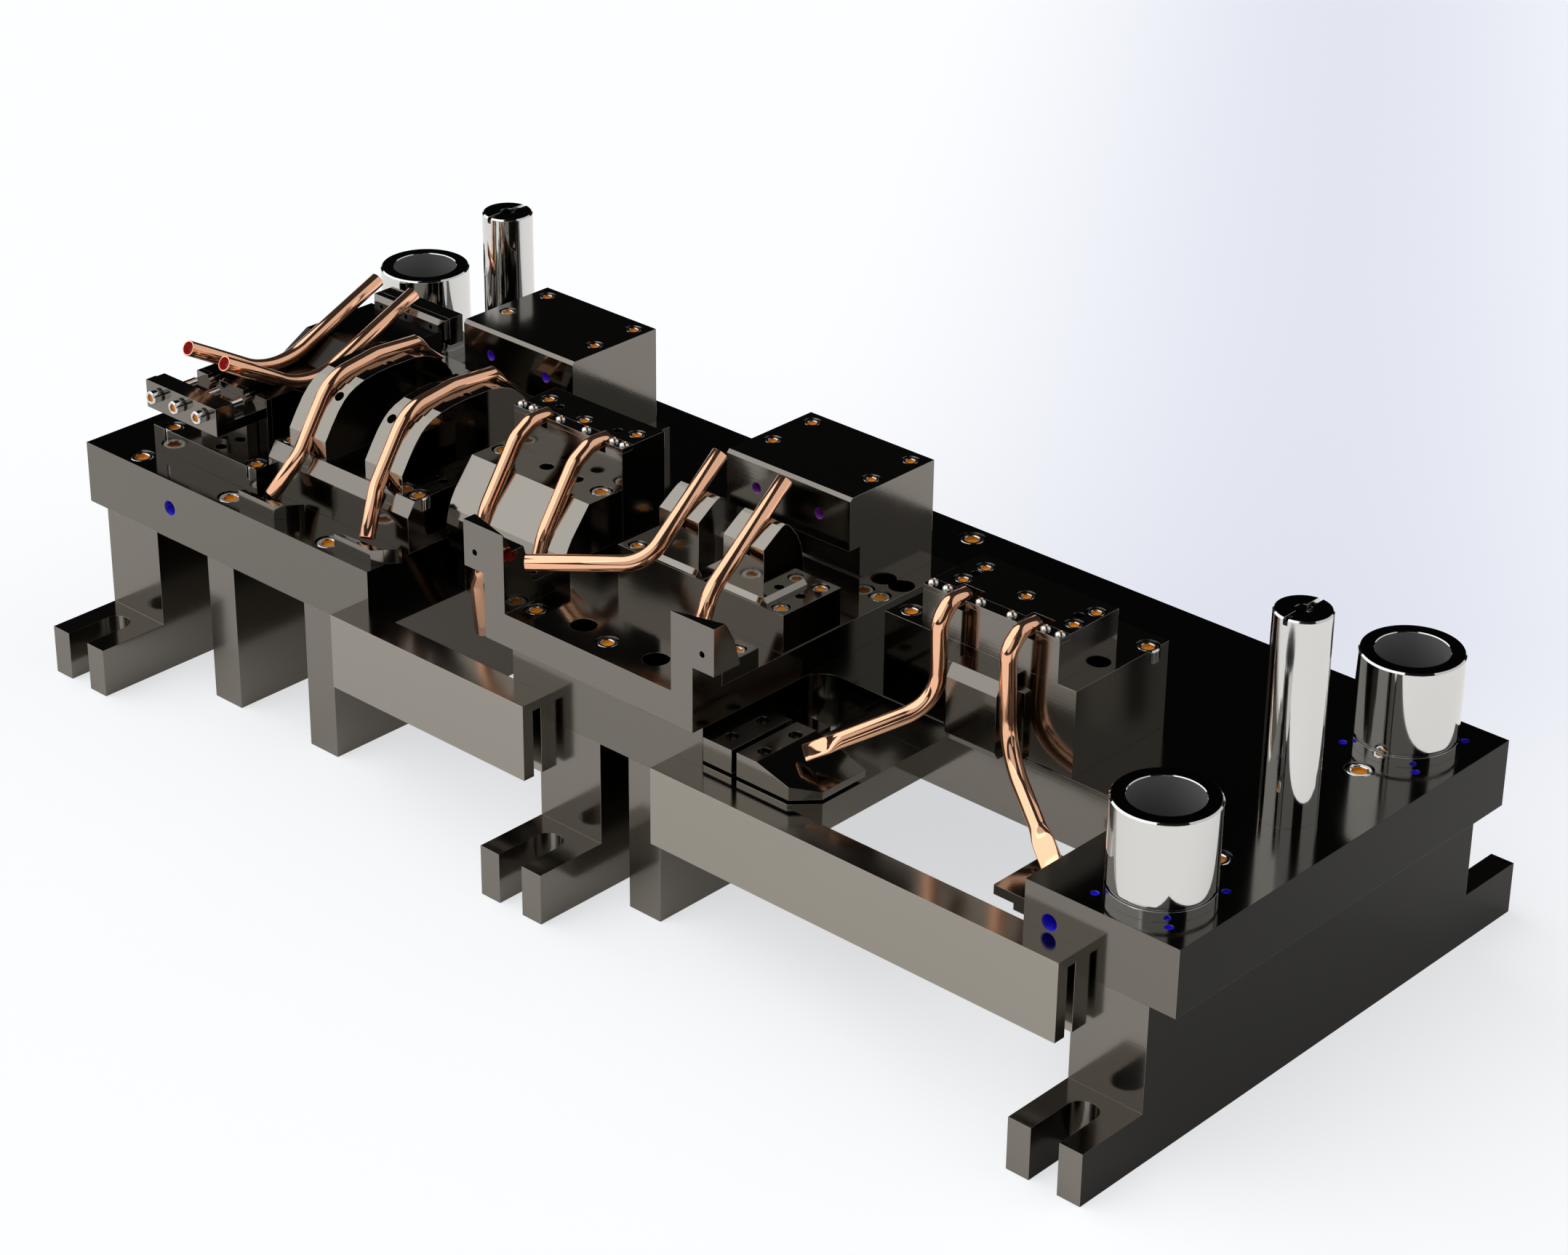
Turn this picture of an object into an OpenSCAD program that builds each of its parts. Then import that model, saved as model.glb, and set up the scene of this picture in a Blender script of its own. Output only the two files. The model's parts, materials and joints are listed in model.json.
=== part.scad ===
// Lower half of a five-station tube forming die.
// A shoe on six risers carries bend, saddle, flare, pinch and pierce stations,
// each with a pair of formed tubes, and guide bushings and stop posts for an upper half.
// Die coordinates start at the shoe's left front corner, on the floor.

/* [Shoe and risers] */
// Length of the shoe
shoe_l = 886; // [884:1:1000]
// Width of the shoe, front to back
shoe_w = 302; // [296:1:340]
// Thickness of the shoe
shoe_t = 42; // [36:1:60]
// Height of the risers
riser_h = 100; // [90:1:160]
// Thickness of a plain riser
riser_t = 25; // [20:1:30]
// Thickness of a riser with clamping lugs
lug_riser_t = 50; // [44:1:56]
// Reach of a clamping lug beyond the shoe
lug_reach = 50; // [36:1:70]
// Height of a clamping lug
lug_h = 33; // [20:1:45]
// Width of the open slot in a lug
lug_slot_w = 19; // [14:1:24]
// Inset of the outer risers from the shoe's ends
riser_inset = 17; // [10:1:20]
// Depth of the left pocket from the front
pocket_left_d = 80; // [60:1:90]
// Length of the left pocket
pocket_left_l = 126.7; // [126:0.1:132]
// Depth of the right pocket from the front
pocket_right_d = 98; // [92:1:100]
// Length of the right pocket
pocket_right_l = 234; // [230:1:240]
// Corner radius of the right pocket
pocket_r = 15; // [8:1:20]
// Height of a tie bar
tie_h = 49.5; // [40:0.5:60]
// Depth of a tie bar, front to back
tie_d = 20.4; // [18:0.2:26]
// Thickness of a tie bar's walls
tie_wall = 6; // [4:0.5:7]
// Height of a tie bar's top above the underside of the shoe
tie_lap = 16.4; // [10:0.2:30]
// Diameter of the tapped holes in the shoe's front
front_tap_d = 10.2; // [8:0.1:14]

/* [Guides and stops] */
// Outer diameter of a guide bushing
bushing_d = 60; // [54:1:64]
// Bore of a guide bushing
bushing_bore = 42; // [30:1:46]
// Height of a guide bushing above the shoe
bushing_h = 58.4; // [50:0.2:90]
// Diameter of a guide bushing's spigot in the shoe
spigot_d = 52; // [50:1:53]
// Distance of the bushings from the shoe's edges
bushing_in = 42; // [36:1:44]
// Diameter of a stop post
post_d = 33; // [28:1:40]
// Height of a stop post above the shoe
post_h = 125; // [100:1:150]
// Width of the slot across a stop post's top
post_slot_w = 3; // [2:0.5:5]

/* [Bend station] */
// Distance of the bend station's plate from the shoe's left end
bend_x = 39.4; // [32:0.1:41]
// Width of the bend station's plate
bend_w = 100; // [98:0.5:101]
// Thickness of the bend station's plate
bend_plate_t = 17; // [12:0.5:22]
// Length of the bending bar and its bracket
bend_bar_l = 68; // [60:1:72]
// Height of the bending bar
bend_bar_h = 18.8; // [14:0.2:22]
// Pitch of the bent tubes
bend_pitch = 35; // [30:1:38]

/* [Saddle station] */
// Width of the saddle base
saddle_w = 128.7; // [128:0.1:134]
// Height of the saddle base
saddle_h = 33.2; // [28:0.2:40]
// Thickness of a saddle form
saddle_form_t = 33.4; // [28:0.2:38]
// Pitch of the saddle forms
saddle_pitch = 70; // [64:1:74]

/* [Flare station] */
// Width of the flare form
flare_w = 101; // [98:1:101]
// Height of the flare form's shelf above the shoe
flare_h = 55.3; // [48:0.1:64]
// Pitch of the flared tubes
flare_pitch = 50; // [46:1:54]

/* [Pinch station] */
// Width of the fork plate between its outer faces
fork_w = 167.5; // [164:0.5:170]
// Thickness of the fork plate
fork_t = 20.9; // [16:0.1:26]
// Height of the fork's posts above the shoe
fork_post_h = 71.3; // [64:0.1:80]
// Width of a fork post
fork_post_w = 33; // [28:1:36]
// Pitch of the pinch forms
pinch_pitch = 51; // [46:1:56]
// Thickness of a pinch form
pinch_form_t = 31.4; // [28:0.2:34]
// Height of the pinch base
pinch_base_h = 24.7; // [20:0.1:30]

/* [Pierce station] */
// Width of the pierce base
pierce_w = 138; // [134:1:142]
// Height of the pierce base above the shoe
pierce_h = 54.5; // [48:0.1:62]
// Pitch of the pierced tubes
pierce_pitch = 50; // [46:1:54]
// Height of a clamping head
head_h = 27; // [25:0.5:32]
// Running gap between the cam pads and their base
cam_gap = 2.8; // [2:0.1:4]
// Diameter of the cam pads' guide pins
cam_pin_d = 8; // [6:0.5:10]

/* [Driver blocks] */
// Width of a driver block
driver_w = 98; // [94:1:100]
// Depth of a driver block, front to back
driver_d = 74; // [66:1:80]
// Height of a driver block
driver_h = 68; // [60:1:76]
// Overhang of a driver block's nose
nose_d = 9.2; // [6:0.2:12]

/* [Tubes and fasteners] */
// Outer diameter of the tubes
tube_d = 10; // [9:0.1:10.4]
// Wall thickness of the tubes
tube_wall = 1; // [0.8:0.1:1.5]
// Width of a flattened tube end
flat_w = 13; // [12:0.2:13.6]
// Clearance of a tube in its form
tube_clear = 0.3; // [0.2:0.05:0.6]
// Head diameter of the large cap screws
screw_l = 16; // [14:0.5:16]
// Head diameter of the medium cap screws
screw_m = 13; // [11:0.5:13]
// Head diameter of the small cap screws
screw_s = 10; // [8:0.5:10]
// Clearance around a screw's head in its counterbore
head_clear = 0.5; // [0.3:0.1:0.8]

/* [Hidden] */
$fn = 48;
eps = 0.01;
cut = 1;
steel = "dimgray";
bright = "silver";
copper = "#b9703f";

// Heights that everything else stands on
deck_z = riser_h + shoe_t;
station_gap = 1.6;

// Chain of the stations from left to right
saddle_x = bend_x + bend_w + station_gap;
pocket_left_x = saddle_x + saddle_w;
flare_x = pocket_left_x + 10.5;
fork_x = flare_x + flare_w + 1.2;
pocket_right_x = fork_x + fork_w + 0.2;
pierce_x = pocket_right_x + 47.8;

// Screws
head_ratio = 0.62;
shank_ratio = 0.6;
socket_ratio = 0.64;
shank_clear = 0.2;
head_sunk = 0.6;

// Tubes
tube_r = tube_d / 2;
groove_r = tube_r + tube_clear;
flat_t = 2.6 * tube_wall;
flat_neck = 0.45;
flat_square = 0.6;
tube_sides = 16;
bend_step = 12;
end_bore = 5;
lift_room = 60;

// Draws in die coordinates with the part's origin under the middle of the shoe
module in_die() translate([-shoe_l / 2, -shoe_w / 2, 0]) children();

module block(lo, hi) translate(lo) cube(hi - lo);

// A block whose outline in Y and Z is given, from x0 to x1
module slab_yz(x0, x1, outline)
    translate([x0, 0, 0]) rotate([90, 0, 90]) linear_extrude(x1 - x0) polygon(outline);

// A block whose outline in X and Z is given, from y0 to y1
module slab_xz(y0, y1, outline)
    translate([0, y1, 0]) rotate([90, 0, 0]) linear_extrude(y1 - y0) polygon(outline);

// A block whose outline in X and Y is given, from z0 to z1
module slab_xy(z0, z1, outline) translate([0, 0, z0]) linear_extrude(z1 - z0) polygon(outline);

// A plain hole drilled down from the point given
module drill(at, d, depth) translate(at + [0, 0, -depth]) cylinder(d = d, h = depth + cut);

// A hole drilled towards the back from the point given
module drill_back(at, d, depth)
    translate(at + [0, -cut, 0]) rotate([-90, 0, 0]) cylinder(d = d, h = depth + cut);

// A counterbored hole for a cap screw whose head is sunk in the face at the point given
module screw_hole(at, head_d, length) {
    head_depth = head_ratio * head_d + head_sunk;
    drill(at, head_d + 2 * head_clear, head_depth);
    drill(at, shank_ratio * head_d + 2 * shank_clear, head_depth + length);
}

// A socket head cap screw in its counterbore
module cap_screw(at, head_d, length) {
    head_t = head_ratio * head_d;
    socket_t = 0.4 * head_t;
    translate(at + [0, 0, -head_sunk - head_t]) difference() {
        union() {
            cylinder(d = head_d, h = head_t);
            translate([0, 0, -length]) cylinder(d = shank_ratio * head_d, h = length + eps);
        }
        translate([0, 0, head_t - socket_t])
            cylinder(d = socket_ratio * head_d, h = socket_t + cut, $fn = 6);
    }
}

// Vectors along the tubes' routes
function unit(v) = v / norm(v);
function turn_at(a, p, b) = acos(unit(p - a) * unit(b - p));
function trim_at(path, i, bend) = bend * tan(turn_at(path[i - 1], path[i], path[i + 1]) / 2);

// Points and directions along the bend at corner i of a path
function bend_points(path, i, bend) = let (
    u = unit(path[i] - path[i - 1]),
    v = unit(path[i + 1] - path[i]),
    n = unit(v - (u * v) * u),
    turn = turn_at(path[i - 1], path[i], path[i + 1]),
    centre = path[i] - u * trim_at(path, i, bend) + n * bend,
    steps = max(1, ceil(turn / bend_step)))
    [for (k = [0 : steps]) let (a = turn * k / steps)
        [centre - n * (bend * cos(a)) + u * (bend * sin(a)), u * cos(a) + n * sin(a)]];

// Stations along a whole path, as points and directions; bend is one radius or one for each corner
function route_points(path, bend) = let (last = len(path) - 1) concat(
    [[path[0], unit(path[1] - path[0])]],
    [for (i = [1 : 1 : last - 1]) each bend_points(path, i, is_num(bend) ? bend : bend[i - 1])],
    [[path[last], unit(path[last] - path[last - 1])]]);

// A ring around a station, w wide across X and t thick; its corners are squarer where square is under 1
function ring(station, w, t, square) = let (
    u = station[1],
    s = unit([1, 0, 0] - u.x * u),
    q = cross(u, s))
    [for (j = [0 : tube_sides - 1]) let (a = 360 * j / tube_sides)
        station[0] + s * (w / 2 * sign(cos(a)) * pow(abs(cos(a)), square))
        + q * (t / 2 * sign(sin(a)) * pow(abs(sin(a)), square))];

// A skin over a row of rings, closed at both ends
module skin(rings) {
    m = len(rings[0]);
    last = len(rings) - 1;
    sides = [for (i = [0 : last - 1], j = [0 : m - 1]) let (a = i * m + j, b = i * m + (j + 1) % m)
        each [[a, a + m, b], [b, a + m, b + m]]];
    low_cap = [for (j = [1 : m - 2]) [0, j, j + 1]];
    high_cap = [for (j = [1 : m - 2]) [last * m, last * m + j + 1, last * m + j]];
    polyhedron([for (r = rings) each r], concat(sides, low_cap, high_cap));
}

// The rings of an open tube end whose mouth is at the station given; inward is 1 at a start and -1 at an end
function mouth_rings(station, inward) = let (
    deep = [station[0] + station[1] * (inward * end_bore), station[1]],
    bore = tube_d - 2 * tube_wall,
    rings = [ring(deep, bore, bore, 1), ring(station, bore, bore, 1), ring(station, tube_d, tube_d, 1)])
    inward > 0 ? rings : [rings[2], rings[1], rings[0]];

// The rings of a flattened end that runs on from the station given to a tip
function flat_rings(station, tip) = let (
    u = unit(tip - station[0]),
    neck = [station[0] + u * (flat_neck * norm(tip - station[0])), u])
    [ring([station[0], unit(u + station[1])], tube_d, tube_d, 1), ring(neck, flat_w, flat_t, flat_square),
        ring([tip, u], flat_w, flat_t, flat_square)];

// A tube along a path, open at its start, and at its end either open or flattened out to a tip
module tube(path, bend, tip) {
    stations = route_points(path, bend);
    last = len(stations) - 1;
    body = [for (i = [1 : last - 1]) ring(stations[i], tube_d, tube_d, 1)];
    skin(concat(mouth_rings(stations[0], 1), body,
        tip == undef ? mouth_rings(stations[last], -1) : flat_rings(stations[last], tip)));
}

// A groove for a tube that runs in one upright plane, open at the top
module open_groove(path, bend) {
    stations = route_points(path, bend);
    last = len(stations) - 1;
    way = sign(path[len(path) - 1].y - path[0].y);
    high = deck_z + 2 * lift_room;
    low = [for (st = stations) [st[0].y + way * st[1].z * groove_r, st[0].z - way * st[1].y * groove_r]];
    x = path[0].x;
    slab_yz(x - groove_r, x + groove_r, concat(low, [[low[last].x, high], [low[0].x, high]]));
}

// Shoe

shoe_screw_in = 11.5;
shoe_screw_t = 30;
post_in = 51;
post_left_x = 134;
riser_step = 100;
front_tap_up = 0.6;
tap_from_left = 82;
tap_from_right = 84.7;
screw_rear_in = 12.7;
right_screws_y = [87, 217];
pocket_left_x2 = pocket_left_x + pocket_left_l;
pocket_right_x2 = pocket_right_x + pocket_right_l;
bushing_right_x = shoe_l - bushing_in;
bushing_back_y = shoe_w - bushing_in;
front_bushing_y = bushing_in - 4;
toe_screw_off = 24.4;
toe_hole_d = 5;
toe_hole_t = 12;
post_right_at = [bushing_right_x, shoe_w / 2 - 1.5];
post_left_at = [post_left_x, shoe_w - post_in];
post_spigot_d = 0.6 * post_d;
post_spigot_t = 0.5 * shoe_t;
bushings = [[bushing_right_x, front_bushing_y], [bushing_right_x, bushing_back_y],
    [bushing_in, bushing_back_y]];
shoe_screws_at = [[bushing_in, shoe_screw_in], [saddle_x - shoe_screw_in, shoe_screw_in],
    [pocket_left_x - 48, shoe_screw_in], [bushing_right_x, right_screws_y[0]],
    [bushing_right_x, right_screws_y[1]], [pocket_right_x - 46.5, shoe_w - screw_rear_in]];
front_taps_at = [tap_from_left, shoe_l - tap_from_right];
front_tap_z = riser_h + tie_lap + front_tap_d / 2 + front_tap_up;
front_tap_t = 26;
riser_xs = [riser_inset, riser_inset + riser_step, saddle_x + 68.2, pocket_left_x2 + 21.6,
    pocket_left_x2 + 94.8, shoe_l - riser_inset - lug_riser_t];
lug_slot_t = lug_reach - 10;

module right_pocket() {
    // The rear left corner is rounded, as the cutter left it
    low = riser_h - cut;
    high = deck_z + cut;
    difference() {
        block([pocket_right_x, -cut, low], [pocket_right_x2, pocket_right_d, high]);
        difference() {
            block([pocket_right_x - cut, pocket_right_d - pocket_r, low - cut],
                [pocket_right_x + pocket_r, pocket_right_d + cut, high + cut]);
            translate([pocket_right_x + pocket_r, pocket_right_d - pocket_r, low - 2 * cut])
                cylinder(r = pocket_r, h = high - low + 4 * cut);
        }
    }
}

module lower_shoe() color(steel) in_die() difference() {
    block([0, 0, riser_h], [shoe_l, shoe_w, deck_z]);
    block([pocket_left_x, -cut, riser_h - cut], [pocket_left_x2, pocket_left_d, deck_z + cut]);
    right_pocket();
    for (p = shoe_screws_at) screw_hole([p.x, p.y, deck_z], screw_l, shoe_screw_t);
    for (b = bushings) {
        drill([b.x, b.y, deck_z], spigot_d, shoe_t + cut);
        for (i = [-1, 1], j = [-1, 1])
            drill([b.x + i * toe_screw_off, b.y + j * toe_screw_off, deck_z], toe_hole_d, toe_hole_t);
    }
    for (p = [post_right_at, post_left_at]) drill([p.x, p.y, deck_z], post_spigot_d, post_spigot_t);
    for (x = front_taps_at) drill_back([x, 0, front_tap_z], front_tap_d, front_tap_t);
}

// A riser, with slotted lugs at the ends that are asked for
module riser(x, t, front_lug, back_lug) color(steel) in_die() difference() {
    union() {
        block([x, 0, 0], [x + t, shoe_w, riser_h]);
        if (front_lug) block([x, -lug_reach, 0], [x + t, 0, lug_h]);
        if (back_lug) block([x, shoe_w, 0], [x + t, shoe_w + lug_reach, lug_h]);
    }
    if (front_lug) lug_slot(x + t / 2, -lug_reach, 1);
    if (back_lug) lug_slot(x + t / 2, shoe_w + lug_reach, -1);
}

// The open slot of a lug, from its outer edge towards the riser
module lug_slot(x, y, way) {
    seat_y = y + way * (lug_slot_t - lug_slot_w / 2);
    translate([x, seat_y, -cut]) cylinder(d = lug_slot_w, h = lug_h + 2 * cut);
    block([x - lug_slot_w / 2, min(y - way * cut, seat_y), -cut],
        [x + lug_slot_w / 2, max(y - way * cut, seat_y), lug_h + cut]);
}

module riser_far_left() riser(riser_xs[0], lug_riser_t, true, true);
module riser_left() riser(riser_xs[1], riser_t, false, false);
module riser_inner_left() riser(riser_xs[2], riser_t, false, false);
module riser_middle() riser(riser_xs[3], lug_riser_t, true, true);
module riser_inner_right() riser(riser_xs[4], riser_t, false, false);
module riser_far_right() riser(riser_xs[5], lug_riser_t, true, true);

// A bar that ties the shoe's front across a pocket, hollow from below
module tie_bar(x0, x1) color(steel) in_die() {
    top = riser_h + tie_lap;
    difference() {
        block([x0, -tie_d, top - tie_h], [x1, 0, top]);
        block([x0 - cut, -tie_d + tie_wall + 2, top - tie_h - cut], [x1 + cut, -tie_wall, top - tie_wall]);
    }
}

module tie_bar_left() tie_bar(pocket_left_x - 12, pocket_left_x2 + 28.8);
module tie_bar_right() tie_bar(pocket_right_x - 21.6, riser_xs[5] + 5.4);

module shoe_screws() color(bright) in_die()
    for (p = shoe_screws_at) cap_screw([p.x, p.y, deck_z], screw_l, shoe_screw_t - cut);

// Guides and stops

bushing_ring_h = 6;
bushing_neck_h = 2.6;
bushing_neck_t = 1.6;

module guide_bushing(at) color(bright) in_die() translate([at.x, at.y, 0]) rotate_extrude($fn = 96) polygon([
    [bushing_bore / 2, riser_h],
    [spigot_d / 2, riser_h],
    [spigot_d / 2, deck_z],
    [bushing_d / 2, deck_z],
    [bushing_d / 2, deck_z + bushing_ring_h],
    [bushing_d / 2 - bushing_neck_t, deck_z + bushing_ring_h],
    [bushing_d / 2 - bushing_neck_t, deck_z + bushing_ring_h + bushing_neck_h],
    [bushing_d / 2, deck_z + bushing_ring_h + bushing_neck_h],
    [bushing_d / 2, deck_z + bushing_h - 1],
    [bushing_d / 2 - 1, deck_z + bushing_h],
    [bushing_bore / 2 + 1, deck_z + bushing_h],
    [bushing_bore / 2, deck_z + bushing_h - 1]]);

module guide_bushing_front() guide_bushing(bushings[0]);
module guide_bushing_back() guide_bushing(bushings[1]);
module guide_bushing_left() guide_bushing(bushings[2]);

post_hole_d = 10;
post_hole_t = 30;
post_slot_t = 4;

module stop_post(at) color(bright) in_die() translate([at.x, at.y, deck_z]) difference() {
    union() {
        cylinder(d = post_d, h = post_h - 1, $fn = 96);
        translate([0, 0, post_h - 1 - eps]) cylinder(d1 = post_d, d2 = post_d - 2, h = 1 + eps, $fn = 96);
        translate([0, 0, -post_spigot_t]) cylinder(d = post_spigot_d, h = post_spigot_t + eps);
    }
    translate([0, 0, post_h - post_hole_t]) cylinder(d = post_hole_d, h = post_hole_t + cut);
    translate([-post_slot_w / 2, -post_d, post_h - post_slot_t])
        cube([post_slot_w, 2 * post_d, post_slot_t + cut]);
}

module stop_post_right() stop_post(post_right_at);
module stop_post_left() stop_post(post_left_at);

// Bend station

bend_y = 24.9;
bend_y2 = bushing_back_y - bushing_d / 2 - 1.5;
bend_top = deck_z + bend_plate_t;
bend_mid = bend_x + 41;
bend_x0 = bend_mid - bend_bar_l / 2;
bend_x1 = bend_mid + bend_bar_l / 2;
bend_edge = 12;
bend_screws_at = [[bend_x + bend_edge, bend_y + 6.9], [bend_x + bend_w - 7.5, bend_y + 6.9],
    [bend_x + bend_w - 7.5, bend_y2 - bend_edge]];
bend_holes_at = [[bend_x + 57.6, bend_y + 7.8], [bend_x + 58.1, bend_y + 23.6]];
bend_hole_d = 8;
bar_y = bend_y - 9.2;
bar_t = 8;
bar_low = deck_z + 34.7;
bar_high = bar_low + bend_bar_h;
bar_back_t = 7;
bar_back_up = 7;
bracket_t = 4;
bracket_y = bend_y + 31.9;
bracket_y2 = bracket_y + bracket_t;
bracket_low = deck_z + 35.6;
bracket_high = deck_z + 46.8;
bracket_leg_w = 9;
notch_r = 5.6;
upright_y = bracket_y - 9;
upright_w = 56;
upright_screw_in = 32;
cradle_low = deck_z + 36;
cradle_high = deck_z + 48;
cradle_valley = [98, 128];
bend_route = [[38, 215], [107, 175.5], [199, 214]];
bend_r = 55;
back_y2 = bend_y2 - 2;
back_y = back_y2 - 11.5;
pad_t = 8;
pad_bevel = 3;
pad_hole_d = 3;
pad_hole_t = 4;
pad_hole_in = 6;
back_low = deck_z + 35;
back_high = deck_z + 54;
cradle_y2 = back_y - pad_t;
long_screw_d = 9;
long_screw_out = 7;
long_screw_t = 30;
long_shank_d = 5;
long_screw_z = bar_low + 11.5;
long_screws_at = [bend_x0 + bend_edge, bend_mid, bend_x1 - bend_edge];

function bend_tube_x(side) = bend_mid + side * bend_pitch / 2;
function bend_path(side) = [for (p = bend_route) [bend_tube_x(side), p.x, p.y]];

module bend_plate() color(steel) in_die() difference() {
    block([bend_x, bend_y, deck_z], [bend_x + bend_w, bend_y2, bend_top]);
    for (p = bend_screws_at) screw_hole([p.x, p.y, bend_top], screw_m, 6);
    for (p = bend_holes_at) drill([p.x, p.y, bend_top], bend_hole_d, bend_plate_t + cut);
}

module bend_upright() color(steel) in_die() difference() {
    block([bend_x1 - upright_w, upright_y, bend_top],
        [bend_x1 - bracket_leg_w - 1, bracket_y, bracket_low - 2]);
    drill_back([bend_x1 - upright_screw_in, upright_y, bend_top + 8], long_shank_d + 2 * shank_clear, 40);
}

module bend_bracket() color(steel) in_die() difference() {
    slab_xz(bracket_y, bracket_y2, [[bend_x0, bracket_low], [bend_x1 - bracket_leg_w, bracket_low],
        [bend_x1 - bracket_leg_w, bend_top], [bend_x1, bend_top], [bend_x1, bracket_high],
        [bend_x0, bracket_high]]);
    for (side = [-1, 1], z = [bracket_low, bracket_high])
        drill_back([bend_tube_x(side), bracket_y, z], 2 * notch_r, bracket_t + cut);
}

// A bar with a step behind it and a ledge that reaches back to the bracket
module bend_bar() color(steel) in_die() difference() {
    slab_yz(bend_x0, bend_x1, [[bar_y, bar_low], [bracket_y, bar_low], [bracket_y, bar_low + bar_back_up],
        [bar_y + bar_t + bar_back_t, bar_low + bar_back_up], [bar_y + bar_t + bar_back_t, bar_high - 0.6],
        [bar_y + bar_t, bar_high - 0.6], [bar_y + bar_t, bar_high], [bar_y, bar_high]]);
    for (x = long_screws_at)
        drill_back([x, bar_y, long_screw_z], long_shank_d + 2 * shank_clear, bracket_y - bar_y);
}

module bend_cradle() color(steel) in_die() difference() {
    slab_yz(bend_x0, bend_x1, [[bracket_y2, bend_top], [cradle_y2, bend_top], [cradle_y2, cradle_high],
        [cradle_valley[1] + 22, cradle_high], [cradle_valley[1], cradle_low], [cradle_valley[0], cradle_low],
        [cradle_valley[0] - 18, bracket_high], [bracket_y2, bracket_high]]);
    for (side = [-1, 1]) {
        open_groove(bend_path(side), bend_r);
        drill_back([bend_tube_x(side), bracket_y2, bracket_high], 2 * notch_r,
            cradle_valley[0] - bracket_y2);
    }
}

module bend_back_pad() color(steel) in_die() difference() {
    slab_yz(bend_x0, bend_x1, [[cradle_y2, back_low + 5], [back_y, back_low + 5], [back_y, back_high],
        [cradle_y2 + pad_bevel, back_high], [cradle_y2, back_high - pad_bevel]]);
    for (x = [bend_x0, bend_x1])
        slab_xy(back_low, back_high + cut, [[x - pad_bevel, cradle_y2], [x, cradle_y2 - pad_bevel],
            [x + pad_bevel, cradle_y2], [x, cradle_y2 + pad_bevel]]);
    for (x = [bend_x0 + 10, bend_mid, bend_x1 - 10])
        drill_back([x, cradle_y2, back_high - pad_hole_in], pad_hole_d, pad_hole_t);
    drill_back([bend_mid, cradle_y2, back_high - 2.3 * pad_hole_in], pad_hole_d, pad_hole_t);
}

// Its leg stands under its left part only
module bend_back_block() color(steel) in_die() slab_xz(back_y, back_y2, [[bend_x0, bend_top],
    [bend_mid, bend_top], [bend_mid, back_low], [bend_x1, back_low], [bend_x1, back_high],
    [bend_x0, back_high]]);

// A cap screw whose head stands proud of an upright face
module long_screw(at, length) translate(at) rotate([90, 0, 0]) difference() {
    union() {
        cylinder(d = long_screw_d, h = long_screw_out);
        translate([0, 0, -length]) cylinder(d = long_shank_d, h = length + eps);
    }
    translate([0, 0, long_screw_out - 3]) cylinder(d = socket_ratio * long_screw_d, h = 3 + cut, $fn = 6);
}

module bend_screws() color(bright) in_die() {
    for (p = bend_screws_at) cap_screw([p.x, p.y, bend_top], screw_m, 5);
    for (x = long_screws_at) long_screw([x, bar_y, long_screw_z], long_screw_t);
    long_screw([bend_x1 - upright_screw_in, upright_y, bend_top + 8], bracket_y - upright_y - cut);
}

module bend_tubes() color(copper) in_die() for (side = [-1, 1]) tube(bend_path(side), bend_r);

// Driver blocks

driver_left_x = saddle_x + 41.5;
driver_right_x = fork_x + 54.1;
driver_left_y = 174.5;
driver_right_y = 148.7;
driver_z = deck_z + fork_t;
driver_body_d = driver_d - nose_d;
nose_z = driver_z + driver_h / 2;
driver_groove_z = 13;
driver_groove_t = 2;
driver_groove_d = 1.5;
driver_screw_in = 10;
driver_tap_d = 6.8;
driver_tap_in = 24.2;
driver_tap_t = 18;
driver_tap_low = 17.3;
driver_seat_edge = 6;
driver_top = driver_z + driver_h;

function driver_screws_for(x, y) = [for (i = [driver_screw_in, driver_w - driver_screw_in],
    j = [20, driver_body_d - driver_screw_in]) [x + i, y + j, driver_top]];

module driver_block(x, y) color(steel) in_die() difference() {
    union() {
        block([x, y, driver_z], [x + driver_w, y + driver_body_d, driver_top]);
        slab_yz(x, x + driver_w, [[y - nose_d, nose_z], [y, nose_z], [y + 2, nose_z], [y + 2, driver_top],
            [y - nose_d + 2, driver_top], [y - nose_d, driver_top - 2]]);
    }
    block([x - cut, y - cut, driver_z + driver_groove_z],
        [x + driver_w + cut, y + driver_groove_d, driver_z + driver_groove_z + driver_groove_t]);
    for (p = driver_screws_for(x, y)) screw_hole(p, screw_s, 30);
    for (i = [driver_tap_in, driver_w - driver_tap_in])
        drill_back([x + i, y - nose_d, driver_top - driver_tap_low], driver_tap_d, driver_tap_t);
}

module driver_seat_left() color(steel) in_die() {
    edge = driver_seat_edge;
    block([driver_left_x - edge, driver_left_y - nose_d - edge + 2, deck_z],
        [driver_left_x + driver_w + edge, driver_left_y + driver_body_d + edge, driver_z]);
}

module driver_block_left() driver_block(driver_left_x, driver_left_y);
module driver_block_right() driver_block(driver_right_x, driver_right_y);

module driver_screws() color(bright) in_die() {
    for (p = driver_screws_for(driver_left_x, driver_left_y)) cap_screw(p, screw_s, 29);
    for (p = driver_screws_for(driver_right_x, driver_right_y)) cap_screw(p, screw_s, 29);
}

// Saddle station

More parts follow.
